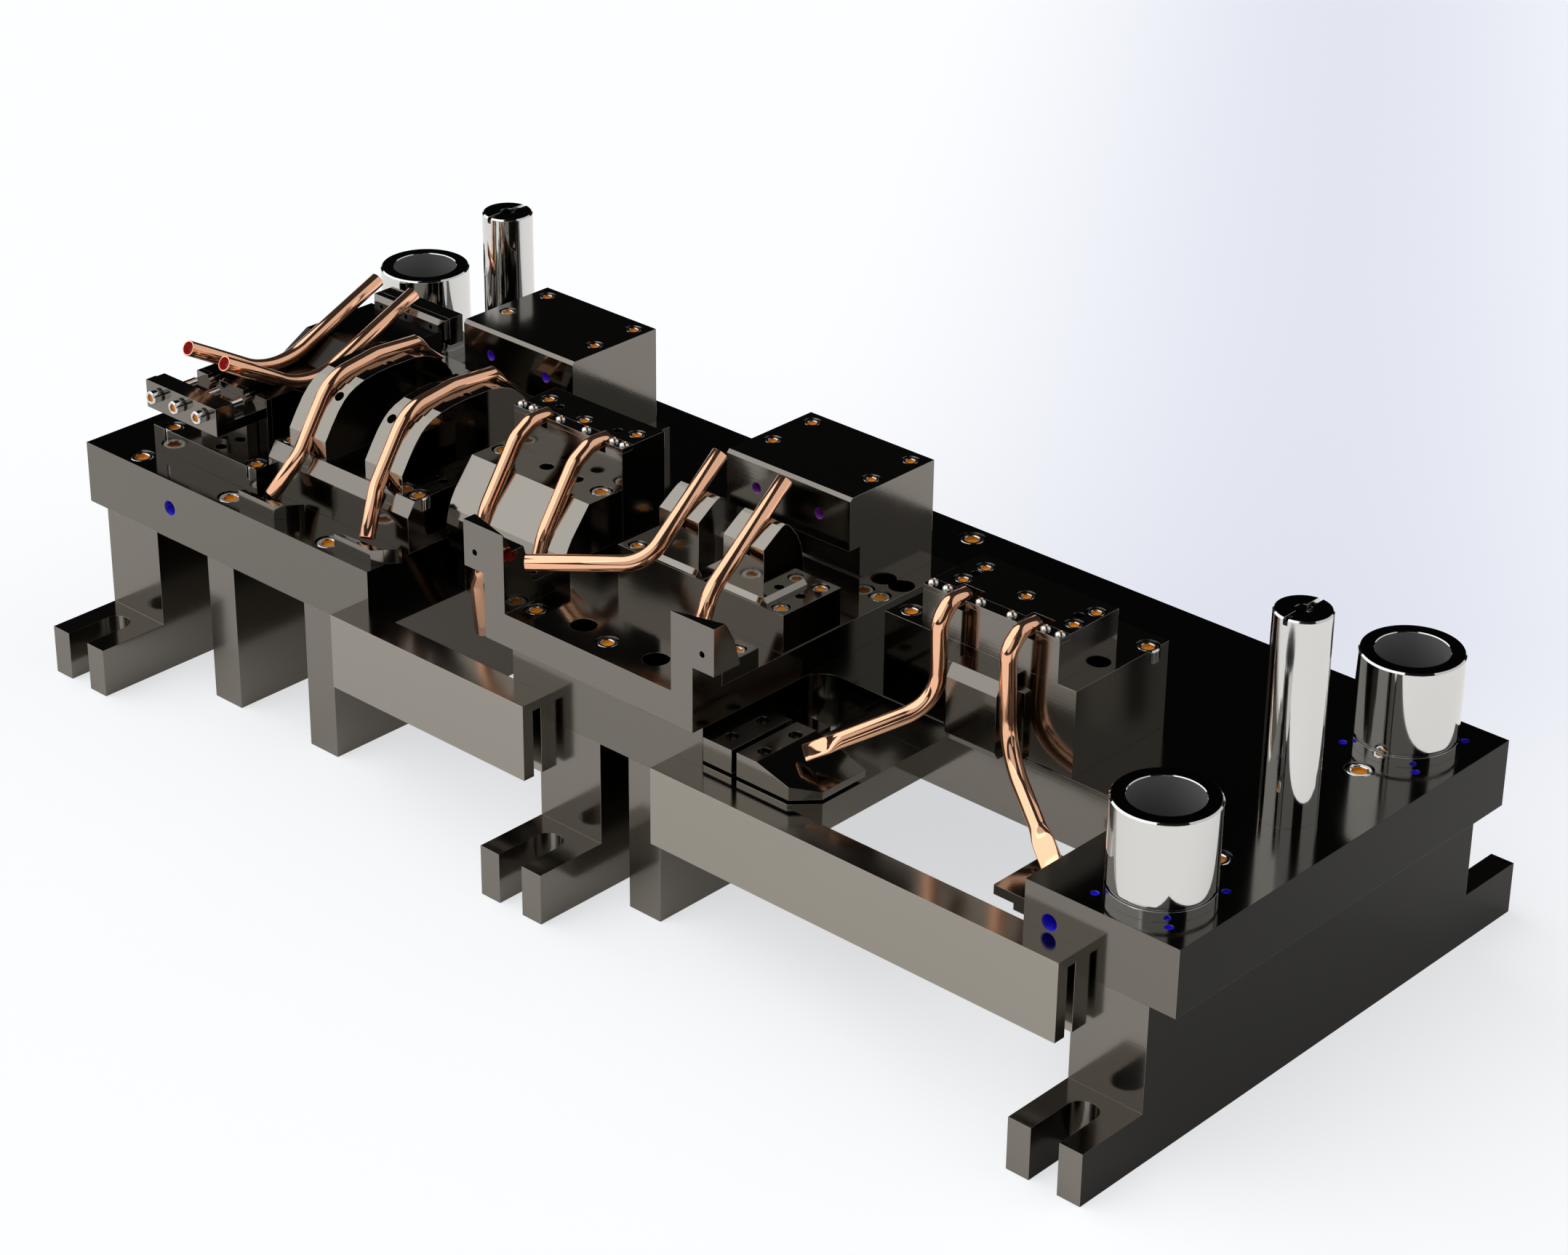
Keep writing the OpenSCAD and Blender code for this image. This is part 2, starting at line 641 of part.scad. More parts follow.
saddle_y = 34.4;
saddle_y2 = 158;
saddle_top = deck_z + saddle_h;
saddle_mid = saddle_x + 64.9;
saddle_edge = 6.2;
saddle_screws_at = [[saddle_x + saddle_edge, saddle_y + 15],
    [saddle_x + saddle_w - saddle_edge, saddle_y + 15],
    [saddle_x + saddle_w - saddle_edge, saddle_y2 - 12], [saddle_x + saddle_edge, saddle_y2 - 12]];
saddle_route = [[18.5, 151.5], [35.5, 177.5], [62.7, 219], [100, 223.6], [134, 221.5]];
saddle_bend_r = 28;
saddle_notch_t = 10;
slope_hole_d = 6.5;
top_hole_d = 5;
form_hole_t = 12;
saddle_flat_at = [152, 207];
stop_h = 9.5;
stop_out = 9;
stop_y = 8.5;
stop_w = 33.1;
stop_hole_d = 2;
stop_hole_t = 5;

function saddle_form_x(side) = saddle_mid + side * saddle_pitch / 2;
function saddle_path(side) = [for (i = [0 : len(saddle_route) - 1])
    [saddle_form_x(side) + (i == 0 ? side * stop_out : 0), saddle_route[i].x, saddle_route[i].y]];
function stop_x(side) = saddle_x + (side < 0 ? 0.3 : 89.6);
function saddle_groove(side) = [for (i = [1 : len(saddle_route) - 1])
    [saddle_form_x(side), saddle_route[i].x, saddle_route[i].y]];

module saddle_base() color(steel) in_die() difference() {
    slab_yz(saddle_x, saddle_x + saddle_w, [[saddle_y, deck_z], [saddle_y, saddle_top - saddle_edge * 1.5],
        [saddle_y + saddle_edge, saddle_top], [saddle_y2, saddle_top], [saddle_y2, deck_z]]);
    for (p = saddle_screws_at) screw_hole([p.x, p.y, saddle_top], screw_m, 18);
    drill([saddle_x + saddle_w - 9, saddle_y + 38, saddle_top], 6, 20);
    for (side = [-1, 1]) let (x = saddle_form_x(side) + side * 3)
        block([x - 9, saddle_y - cut, saddle_top - saddle_notch_t], [x + 9, saddle_y + 7, saddle_top + cut]);
}

module saddle_form(side) color(steel) in_die() difference() {
    x = saddle_form_x(side);
    front = saddle_y + 7.3;
    back = front + 110;
    slab_yz(x - saddle_form_t / 2, x + saddle_form_t / 2, [[front, saddle_top], [front, saddle_top + 12.6],
        [front + 6, saddle_top + 22], [front + 11.5, saddle_top + 29.8], [front + 16.5, saddle_top + 35.2],
        [front + 21, saddle_top + 38.8], [front + 26.5, saddle_top + 41.6], [front + 34, saddle_top + 44],
        [front + 44, saddle_top + 45.6], [front + 55, saddle_top + 46.3], [back - 33, saddle_top + 46],
        [back - 24, saddle_top + 44], [back - 15, saddle_top + 40], [back - 8, saddle_top + 34],
        [back - 3, saddle_top + 27], [back, saddle_top + 18], [back, saddle_top]]);
    open_groove(saddle_groove(side), saddle_bend_r);
    flat = [saddle_route[4].x - 4, saddle_route[4].y - groove_r - 0.5];
    slab_yz(x - flat_w / 2 - 1, x + flat_w / 2 + 1, [flat, [back + 6, saddle_top + 24.8],
        [back + 6, deck_z + 2 * lift_room], [flat.x, deck_z + 2 * lift_room]]);
    for (i = [-1, 1]) drill([x + i * 12, front + 60, saddle_top + 47], top_hole_d, form_hole_t);
    translate([x - side * 11, front + 18, saddle_top + 36.4]) rotate([40, 0, 0])
        translate([0, 0, -form_hole_t]) cylinder(d = slope_hole_d, h = form_hole_t + 4);
}

module saddle_form_left() saddle_form(-1);
module saddle_form_right() saddle_form(1);

// A low block whose rear corner is drawn out towards the station's middle
module end_stop(side) color(steel) in_die() difference() {
    x0 = stop_x(side);
    slab_xy(deck_z, deck_z + stop_h, [[x0, stop_y], [x0 + stop_w, stop_y], [x0 + stop_w + 12, stop_y + 14.7],
        [x0 + stop_w + 5, stop_y + 6.2], [x0 + 2, stop_y + 3.5]]);
    for (i = [7, 20]) drill([x0 + i, stop_y + 2.2, deck_z + stop_h], stop_hole_d, stop_hole_t);
}

module end_stop_left() end_stop(-1);
module end_stop_right() end_stop(1);

module saddle_screws() color(bright) in_die()
    for (p = saddle_screws_at) cap_screw([p.x, p.y, saddle_top], screw_m, 17);

module saddle_tubes() color(copper) in_die() for (side = [-1, 1])
    tube(saddle_path(side), saddle_bend_r, [saddle_form_x(side), saddle_flat_at.x, saddle_flat_at.y]);

// Clamping heads with keeper plates, shared by the flare and pierce stations

notch_w = 13;
notch_d = 9.3;
keeper_t = 3;
keeper_d = 9;
button_d = 6;
button_t = 2.2;
button_socket_d = 2.4;
keeper_tap_d = 3.4;
head_screw_in = 12;
head_screw_side = 9;
head_screw_right = 6.5;
head_dowel_d = 6;

// A head from y to y2 whose notches hold the tube ends, rebated along its front for the keepers
module clamp_head(x0, x1, y, y2, z, notches, notch_z, screws, dowels) {
    top = z + head_h;
    difference() {
        block([x0, y, z], [x1, y2, top]);
        block([x0 - cut, y - cut, top - keeper_t], [x1 + cut, y + keeper_d, top + cut]);
        for (x = notches)
            block([x - notch_w / 2, y - cut, notch_z], [x + notch_w / 2, y + notch_d, top + cut]);
        for (p = screws) screw_hole(p, screw_s, head_h - 14);
        for (p = dowels) drill([p.x, p.y, top], head_dowel_d, head_h / 2);
    }
}

// The spans of the keepers beside and between the notches
function keeper_spans(x0, x1, notches) = [
    [x0, notches[0] - notch_w / 2],
    [notches[0] + notch_w / 2, notches[1] - notch_w / 2],
    [notches[1] + notch_w / 2, x1]];
function keeper_buttons(span) = let (mid = (span[0] + span[1]) / 2, off = (span[1] - span[0]) * 0.3)
    [mid - off, mid + off];

module keepers(x0, x1, y, top, notches) for (span = keeper_spans(x0, x1, notches)) difference() {
    block([span[0], y, top - keeper_t], [span[1], y + keeper_d, top]);
    for (x = keeper_buttons(span)) drill([x, y + keeper_d / 2, top], keeper_tap_d, keeper_t + cut);
}

module keeper_screws(x0, x1, y, top, notches)
    for (span = keeper_spans(x0, x1, notches), x = keeper_buttons(span))
        translate([x, y + keeper_d / 2, top]) difference() {
            cylinder(d1 = button_d, d2 = button_d - 2, h = button_t, $fn = 32);
            translate([0, 0, button_t - 1]) cylinder(d = button_socket_d, h = 1 + cut, $fn = 6);
        }

// Flare station

flare_y = 56.2;
flare_mid = flare_x + flare_w / 2 + 4.8;
flare_top = deck_z + flare_h;
flare_back_y = flare_y + 51.1;
flare_head_y2 = flare_back_y + 36;
flare_head_x0 = flare_x + 8;
flare_head_x1 = flare_x + flare_w;
flare_head_z = flare_top - 0.5;
flare_notches = [flare_mid - flare_pitch / 2, flare_mid + flare_pitch / 2];
flare_screws_at = [[flare_x + 8, flare_back_y - 9.9], [flare_x + flare_w - 8, flare_back_y - 9.9]];
flare_route = [[115, 222], [100, 222], [88, 215], [62.2, 177], [56.5, 160], [56, 138], [62, 124], [77, 80]];
flare_spread = [0, 0, 0, 0, 0, 0, 10, 23];
flare_bends = [10, 16, 30, 30, 12, 12];
flare_groove_bends = [for (i = [1 : 4]) flare_bends[i]];
flare_hole_d = 9;
flare_head_screw_y = flare_back_y + keeper_d + screw_s / 2 + 0.6;
flare_head_screws = [[flare_head_x0 + head_screw_side, flare_head_screw_y + 7, flare_head_z + head_h],
    [(flare_head_x0 + flare_head_x1) / 2, flare_head_screw_y, flare_head_z + head_h],
    [flare_head_x1 - head_screw_side, flare_head_screw_y + 7, flare_head_z + head_h]];
flare_dowels = [for (x = flare_notches) [x, flare_back_y + notch_d + 8]];

function flare_path(side) = [for (i = [0 : len(flare_route) - 1])
    [flare_mid + side * (flare_pitch / 2 + flare_spread[i]), flare_route[i].x, flare_route[i].y]];

// The tube's path down the form's face, then out through its front
function flare_groove(side) = let (x = flare_mid + side * flare_pitch / 2, foot = flare_route[5])
    concat([for (i = [1 : 4]) [x, flare_route[i].x, flare_route[i].y]],
        [[x, foot.x, foot.y - 10], [x, foot.x - 20, foot.y - 10]]);

module flare_form() color(steel) in_die() difference() {
    slab_yz(flare_x, flare_x + flare_w, [[flare_y + 2.6, deck_z], [flare_y + 1.2, deck_z + 6],
        [flare_y + 0.4, deck_z + 12], [flare_y + 0.3, deck_z + 17], [flare_y + 1.1, deck_z + 22],
        [flare_y + 2.6, deck_z + 27], [flare_y + 4.9, deck_z + 32], [flare_y + 8.2, deck_z + 37.5],
        [flare_y + 22.9, flare_top], [flare_back_y, flare_top], [flare_back_y, deck_z]]);
    for (p = flare_screws_at) screw_hole([p.x, p.y, flare_top], screw_m, 30);
    for (x = [flare_x + 0.7 * flare_w, flare_x + 0.45 * flare_w])
        drill([x, flare_back_y - flare_hole_d, flare_top], flare_hole_d, 20);
    for (side = [-1, 1]) open_groove(flare_groove(side), flare_groove_bends);
}

module flare_block() color(steel) in_die() union() {
    block([flare_head_x0, flare_back_y, deck_z], [flare_head_x1, flare_head_y2, flare_head_z]);
    clamp_head(flare_head_x0, flare_head_x1, flare_back_y, flare_head_y2, flare_head_z, flare_notches,
        flare_route[0].y - groove_r, flare_head_screws, flare_dowels);
}

module flare_keepers() color(steel) in_die()
    keepers(flare_head_x0, flare_head_x1, flare_back_y, flare_head_z + head_h, flare_notches);

module flare_screws() color(bright) in_die() {
    for (p = flare_screws_at) cap_screw([p.x, p.y, flare_top], screw_m, 29);
    for (p = flare_head_screws) cap_screw(p, screw_s, head_h - 15);
    keeper_screws(flare_head_x0, flare_head_x1, flare_back_y, flare_head_z + head_h, flare_notches);
}

module flare_tubes() color(copper) in_die() for (side = [-1, 1]) tube(flare_path(side), flare_bends);

// Pinch station

fork_y = -8.2;
fork_y2 = 222;
fork_top = deck_z + fork_t;
fork_post_top = deck_z + fork_post_h;
fork_wing = 16.4;
fork_wing_z = deck_z + 41.6;
fork_post_d = 23.7;
fork_post_hole_d = 4;
fork_tip = 9.3;
fork_taper = 9.5;
fork_screws_at = [[fork_x + 25, 9], [fork_x + 83.6, 9], [fork_x + fork_w - 9, 102],
    [fork_x + fork_w - 9, 160], [fork_x + 23.6, 150]];
fork_holes_at = [[fork_x + 59.4, 14], [fork_x + 118.7, 13]];
fork_stop_h = 12.5;
fork_stop_w = 16;
fork_stop_y = fork_y + fork_post_d + 0.3;
fork_stop_d = 30;
pinch_y = 67;
pinch_mid = fork_x + 107.8;
pinch_x0 = fork_x + 34.8;
pinch_x1 = fork_x + fork_w - 0.7;
pinch_base_d = 49;
pinch_top = fork_top + pinch_base_h;
pinch_screws_at = [[pinch_x0 + 8.7, pinch_y + 7.5], [pinch_x1 - 8.5, pinch_y + 7.2],
    [pinch_x1 - 8.5, pinch_y + 40.8]];
pinch_form_h = 44.6;
pinch_dowel_d = 6;
pinch_route = [[104, 249.5], [42.5, 200]];
pinch_left_end = [fork_x + fork_post_w - fork_wing + 7, 3, 195];
pinch_right_end = [1.5, 31, 176];
pinch_bend_r = 24;
pinch_foot_h = 4;
pinch_foot_bevel = 2.5;

// A post of the fork, with a wing that overhangs the plate's side
module fork_post(side) {
    inner = side < 0 ? fork_x + fork_post_w - fork_wing : fork_x + fork_w - fork_post_w + fork_wing;
    edge = side < 0 ? fork_x : fork_x + fork_w;
    outer = edge + side * fork_wing;
    outline = [[fork_y, fork_top], [fork_y, fork_post_top], [fork_y + fork_tip, fork_post_top],
        [fork_y + fork_tip + 7, fork_post_top - 12], [fork_y + fork_post_d, fork_top + fork_stop_h],
        [fork_y + fork_post_d, fork_top]];
    difference() {
        slab_yz(min(inner, outer), max(inner, outer), outline);
        skin([for (e = [[inner - side * cut, -fork_taper], [outer + side * cut, 0]]) [
            [e[0], fork_y + fork_tip + e[1], fork_post_top + cut],
            [e[0], fork_y + fork_tip + 7 + e[1], fork_post_top - 12],
            [e[0], fork_y + 2 * fork_post_d, fork_post_top - 12],
            [e[0], fork_y + 2 * fork_post_d, fork_post_top + cut]]]);
        block([min(edge, outer) - (side < 0 ? cut : 0), fork_y - cut, fork_top - cut],
            [max(edge, outer) + (side > 0 ? cut : 0), fork_y + fork_post_d + cut, fork_wing_z]);
        translate([outer - side * 9, fork_y - cut, fork_post_top - 18.7]) rotate([-90, 0, 0])
            cylinder(d = fork_post_hole_d, h = 60);
    }
}

module fork_plate() color(steel) in_die() difference() {
    union() {
        block([fork_x, fork_y, deck_z], [fork_x + fork_w, fork_y2, fork_top]);
        for (side = [-1, 1]) fork_post(side);
    }
    for (p = fork_screws_at) screw_hole([p.x, p.y, fork_top], screw_m, 8);
    for (p = fork_holes_at) drill([p.x, p.y, fork_top], screw_l, fork_t + cut);
    drill([fork_x + fork_w - 8.3, 178.6, fork_top], 16, fork_t + cut);
}

module fork_stop(side) color(steel) in_die() difference() {
    x0 = side < 0 ? fork_x : fork_x + fork_w - fork_stop_w;
    mid = x0 + fork_stop_w / 2;
    high = fork_top + fork_stop_h;
    block([x0, fork_stop_y, fork_top], [x0 + fork_stop_w, fork_stop_y + fork_stop_d, high]);
    screw_hole([mid, fork_stop_y + 21, high], screw_s, 3);
    drill([mid, fork_stop_y + 8, high], fork_post_hole_d, 8);
}

module fork_stop_left() fork_stop(-1);
module fork_stop_right() fork_stop(1);

module pinch_base() color(steel) in_die() difference() {
    block([pinch_x0, pinch_y, fork_top], [pinch_x1, pinch_y + pinch_base_d, pinch_top]);
    for (p = pinch_screws_at) screw_hole([p.x, p.y, pinch_top], screw_s, 15);
    drill([pinch_x1 - 9.5, pinch_y + 24.7, pinch_top], pinch_dowel_d, 16);
}

function pinch_form_x(side) = pinch_mid + side * pinch_pitch / 2;
function pinch_path(side) = concat(
    [for (p = pinch_route) [pinch_form_x(side), p.x, p.y]],
    [side < 0 ? pinch_left_end : pinch_right_end + [pinch_form_x(1), 0, 0]]);

// A form on a bevelled foot
module pinch_form(side) color(steel) in_die() difference() {
    x0 = pinch_form_x(side) - pinch_form_t / 2;
    x1 = pinch_form_x(side) + pinch_form_t / 2;
    front = pinch_y + pinch_foot_bevel;
    union() {
        slab_yz(x0, x1, [[front, pinch_top], [front, pinch_top + 34.2], [pinch_y + 13, pinch_top + 41],
            [pinch_y + 17.5, pinch_top + 43.6], [pinch_y + 20.5, pinch_top + pinch_form_h],
            [pinch_y + 24, pinch_top + 42.6], [pinch_y + 30.5, pinch_top + 34.4],
            [pinch_y + 33.9, pinch_top + 27], [pinch_y + 36, pinch_top + 16], [pinch_y + 37, pinch_top]]);
        slab_yz(x0, x1, [[pinch_y, pinch_top], [pinch_y, pinch_top + 1.2],
            [front + eps, pinch_top + pinch_foot_h], [pinch_y + 34, pinch_top + pinch_foot_h],
            [pinch_y + 34, pinch_top]]);
        slab_xz(front, pinch_y + 37, [[x1 - eps, pinch_top], [x1 + pinch_foot_bevel, pinch_top],
            [x1 + pinch_foot_bevel, pinch_top + 1.2], [x1 - eps, pinch_top + pinch_foot_h]]);
    }
    open_groove([for (p = pinch_route) [pinch_form_x(side), p.x, p.y]], pinch_bend_r);
}

module pinch_form_left() pinch_form(-1);
module pinch_form_right() pinch_form(1);

module pinch_screws() color(bright) in_die() {
    for (p = fork_screws_at) cap_screw([p.x, p.y, fork_top], screw_m, 7);
    for (p = pinch_screws_at) cap_screw([p.x, p.y, pinch_top], screw_s, 14);
    for (x = [fork_x + fork_stop_w / 2, fork_x + fork_w - fork_stop_w / 2])
        cap_screw([x, fork_stop_y + 21, fork_top + fork_stop_h], screw_s, 2);
}

module pinch_tubes() color(copper) in_die() for (side = [-1, 1]) tube(pinch_path(side), pinch_bend_r);

// Pierce station

pierce_y = 96.6;
pierce_y2 = 180.6;
pierce_top = deck_z + pierce_h;
pierce_edge = 9.9;
pierce_mid = pierce_x + 76.5;
pierce_head_x0 = pierce_x + 27.4;
pierce_head_x1 = pierce_x + 125;
pierce_head_y2 = 150;
pierce_head_z = pierce_top + head_h;
pierce_notches = [pierce_mid - pierce_pitch / 2, pierce_mid + pierce_pitch / 2];
pierce_head_rows = [11.6, 31.2];
pierce_head_screws = concat(
    [for (x = [pierce_head_x0 + head_screw_in, pierce_head_x1 - head_screw_right], row = pierce_head_rows)
        [x, pierce_head_y2 - row, pierce_head_z]],
    [[(pierce_head_x0 + pierce_head_x1) / 2 + 2, pierce_head_y2 - 23, pierce_head_z]]);
pierce_dowels = [for (x = [pierce_head_x0 + head_screw_in + 1.4, pierce_head_x1 - head_screw_right - 4.4])
    [x, pierce_head_y2 - 21.3]];
pierce_pocket_y = 6.4;
pierce_pocket_t = 6;
pierce_screws_at = [[pierce_x + pierce_edge, pierce_y + 13], [pierce_x + pierce_edge, pierce_y2 - 12.5],
    [pierce_x + pierce_w - pierce_edge + 5, pierce_y2 - 12.5]];
insert_w = 36;
insert_flange_w = 57;
insert_flange_t = 3;
insert_y = 84;
insert_high = deck_z + 48;
pad_rest_z = deck_z - 5.5;
pad_low = deck_z - 20.6;
pad_y2 = 49.6;
rail_x0 = pocket_right_x + 0.3;
rail_x1 = rail_x0 + 21.9;
cam_x0 = rail_x1 + 3.9;
cam_x1 = cam_x0 + 52.3;
cam_front_x = cam_x1 - 14;
cam_ramp_x = cam_x0 + 15;
cam_base_top = pad_low - cam_gap;
pin_clear = 0.04;
cam_bore_d = cam_pin_d + 2 * pin_clear;
shelf_x0 = pocket_right_x2 - 41;
shelf_y = 25;
shelf_y2 = 74;
shelf_top = riser_h + 10;
pierce_left_route = [[107.4, 222], [93.5, 222], [85, 214], [86, 162]];
pierce_left_tip = [38, 146.5];
pierce_left_flat = [pad_y2 / 2 - 2, pad_rest_z + 2];
pierce_right_route = [[107.4, 222], [93.5, 222], [84, 214], [87, 150]];
pierce_left_bends = [7, 12, 26, 14];
pierce_right_bends = [7, 12, 40, 10];
shelf_foot = [-6, 68, 16];
shelf_tip = [16, 55, 5.2];

function pierce_path(side) = [for (p = side < 0 ? pierce_left_route : pierce_right_route)
    [pierce_mid + side * pierce_pitch / 2, p.x, p.y]];

module pierce_base() color(steel) in_die() difference() {
    block([pierce_x, pierce_y + 2, deck_z], [pierce_x + pierce_w, pierce_y2, pierce_top]);
    for (p = pierce_screws_at) screw_hole([p.x, p.y, pierce_top], screw_m, 36);
    drill([pierce_x + pierce_w - 12.3, pierce_y + 37.6, pierce_top], 13, 30);
}

module pierce_head() color(steel) in_die() difference() {
    clamp_head(pierce_head_x0, pierce_head_x1, pierce_y + 2, pierce_head_y2, pierce_top, pierce_notches,
        pierce_left_route[0].y - groove_r, pierce_head_screws, pierce_dowels);
    back = pierce_y + 2 + notch_d;
    for (x = pierce_notches) block([x - notch_w / 2 - 1, back - cut, pierce_head_z - pierce_pocket_t],
        [x + notch_w / 2 + 1, back + pierce_pocket_y, pierce_head_z + cut]);
}

module pierce_keepers() color(steel) in_die()
    keepers(pierce_head_x0, pierce_head_x1, pierce_y + 2, pierce_top + head_h, pierce_notches);

module pierce_insert() color(steel) in_die() {
    block([pierce_mid - insert_flange_w / 2, pierce_y + 2 - insert_flange_t, deck_z],
        [pierce_mid + insert_flange_w / 2, pierce_y + 2, insert_high - 6]);
    slab_yz(pierce_mid - insert_w / 2, pierce_mid + insert_w / 2, [[pierce_y + 2 - insert_flange_t, deck_z],
        [insert_y + 3, deck_z], [insert_y, deck_z + 5], [insert_y, insert_high - 8],
        [insert_y + 4, insert_high], [pierce_y + 2, insert_high], [pierce_y + 2, deck_z]]);
}

module pierce_screws() color(bright) in_die() {
    for (p = pierce_screws_at) cap_screw([p.x, p.y, pierce_top], screw_m, 35);
    for (p = pierce_head_screws) cap_screw(p, screw_s, head_h - 15);
    keeper_screws(pierce_head_x0, pierce_head_x1, pierce_y + 2, pierce_top + head_h, pierce_notches);
}

rail_pins_at = [[(rail_x0 + rail_x1) / 2, 12], [(rail_x0 + rail_x1) / 2, pad_y2 - 12]];
pad_pins_at = [[cam_x0 + 10, 12], [cam_x0 + 10, pad_y2 - 12]];

module cam_rail_lower() color(steel) in_die() difference() {
    block([rail_x0, 0, riser_h], [rail_x1, pocket_right_d - pocket_r, cam_base_top]);
    for (p = rail_pins_at) drill([p.x, p.y, cam_base_top], cam_pin_d, cam_base_top - riser_h + cut);
}

module cam_rail_upper() color(steel) in_die() difference() {
    block([rail_x0, 0, pad_low], [rail_x1, pad_y2, pad_rest_z]);
    for (p = rail_pins_at) drill([p.x, p.y, pad_rest_z], cam_bore_d, pad_rest_z - pad_low + cut);
}

module cam_base() color(steel) in_die() difference() {
    slab_xy(riser_h, cam_base_top, [[cam_x0, 0], [cam_front_x, 0], [cam_x1, 14], [cam_x1, pocket_right_d],
        [cam_x0, pocket_right_d]]);
    for (p = pad_pins_at) drill([p.x, p.y, cam_base_top], cam_pin_d, cam_base_top - riser_h + cut);
}

module cam_pad() color(steel) in_die() difference() {
    slab_xz(0, pad_y2, [[cam_x0, pad_low], [cam_x1, pad_low], [cam_x1, pad_rest_z - 10.5],
        [cam_ramp_x, pad_rest_z], [cam_x0, pad_rest_z]]);
    slab_xy(pad_low - cut, deck_z, [[cam_front_x, -cut], [cam_x1 + cut, -cut], [cam_x1 + cut, 14 + cut]]);
    for (p = pad_pins_at) drill([p.x, p.y, pad_rest_z], cam_bore_d, pad_rest_z - pad_low + cut);
}

module cam_pins() color(bright) in_die() for (p = concat(rail_pins_at, pad_pins_at))
    translate([p.x, p.y, riser_h]) cylinder(d = cam_pin_d, h = pad_rest_z - riser_h - cam_gap - 1);

module rest_shelf() color(steel) in_die()
    slab_xz(shelf_y, shelf_y2, [[shelf_x0, shelf_top - 6], [shelf_x0, shelf_top],
        [pocket_right_x2, shelf_top], [pocket_right_x2, riser_h], [shelf_x0 + 14, riser_h],
        [shelf_x0 + 14, shelf_top - 6]]);

module pierce_tubes() color(copper) in_die() {
    left = pierce_path(-1);
    right = pierce_path(1);
    ankle = [cam_x0 + 44, pierce_left_tip.x, pierce_left_tip.y];
    tube(concat(left, [ankle]), pierce_left_bends, [cam_x0 + 30, pierce_left_flat.x, pierce_left_flat.y]);
    tube(concat(right, [shelf_foot + [shelf_x0, 0, shelf_top]]), pierce_right_bends,
        shelf_tip + [shelf_x0, 0, shelf_top]);
}

lower_shoe();
riser_far_left();
riser_left();
riser_inner_left();
riser_middle();
riser_inner_right();
riser_far_right();
tie_bar_left();
tie_bar_right();
shoe_screws();
guide_bushing_front();
guide_bushing_back();
guide_bushing_left();
stop_post_right();
stop_post_left();
bend_plate();
bend_upright();
bend_bracket();
bend_bar();
bend_cradle();
bend_back_pad();
bend_back_block();
bend_screws();
driver_seat_left();
driver_block_left();
driver_block_right();
driver_screws();
saddle_base();
saddle_form_left();
saddle_form_right();
end_stop_left();
end_stop_right();
saddle_screws();
flare_form();
flare_block();
flare_keepers();
flare_screws();
fork_plate();
fork_stop_left();
fork_stop_right();
pinch_base();
pinch_form_left();
pinch_form_right();
pinch_screws();
pierce_base();
pierce_head();
pierce_keepers();
pierce_insert();
pierce_screws();
cam_rail_lower();
cam_rail_upper();
cam_base();
cam_pad();
cam_pins();
rest_shelf();
bend_tubes();
saddle_tubes();
flare_tubes();
pinch_tubes();
pierce_tubes();
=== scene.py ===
"""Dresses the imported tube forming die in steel, chrome and copper, on a pale floor in soft light."""

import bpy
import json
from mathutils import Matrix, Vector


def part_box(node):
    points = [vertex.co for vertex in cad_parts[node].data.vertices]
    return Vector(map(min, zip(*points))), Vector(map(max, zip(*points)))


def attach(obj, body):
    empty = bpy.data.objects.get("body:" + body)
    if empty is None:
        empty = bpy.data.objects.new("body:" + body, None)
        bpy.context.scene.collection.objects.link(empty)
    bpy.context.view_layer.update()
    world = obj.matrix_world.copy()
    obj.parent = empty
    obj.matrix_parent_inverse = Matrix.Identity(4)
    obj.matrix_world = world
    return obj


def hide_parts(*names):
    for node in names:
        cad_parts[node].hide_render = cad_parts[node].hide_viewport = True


bl_info = {
    "name": "Tube Forming Die",
    "version": (1, 0, 0),
    "blender": (4, 5, 0),
    "location": "View3D > Sidebar > Die",
    "description": "Finishes the lower half of a tube forming die with steel, chrome and copper",
    "category": "Object",
}

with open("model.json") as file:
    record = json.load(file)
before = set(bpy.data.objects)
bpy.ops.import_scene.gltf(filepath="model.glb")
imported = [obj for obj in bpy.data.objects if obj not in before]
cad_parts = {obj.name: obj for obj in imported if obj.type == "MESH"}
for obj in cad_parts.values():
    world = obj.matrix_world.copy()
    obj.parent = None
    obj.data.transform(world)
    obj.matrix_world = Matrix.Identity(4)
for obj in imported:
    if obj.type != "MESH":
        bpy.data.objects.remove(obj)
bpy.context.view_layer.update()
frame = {"nodes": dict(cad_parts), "record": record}

import json
import math

import bmesh
import bpy
from mathutils import Matrix, Vector

MM = 0.001
SHOE_LOW, SHOE_HIGH = (Vector(corner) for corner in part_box("lower_shoe"))
DECK = SHOE_HIGH.z / MM

BUSHING_NODES = ("guide_bushing_front", "guide_bushing_back", "guide_bushing_left")
POST_NODES = ("stop_post_right", "stop_post_left")
SCREW_NODES = tuple(n for n in frame["nodes"] if n.endswith("_screws"))
BLACK_NODES = ("bend_cradle",)


def die(x, y, z):
    """A point given in millimetres from the shoe's left front corner, on the floor."""
    return Vector((SHOE_LOW.x + x * MM, SHOE_LOW.y + y * MM, z * MM))


# Settings


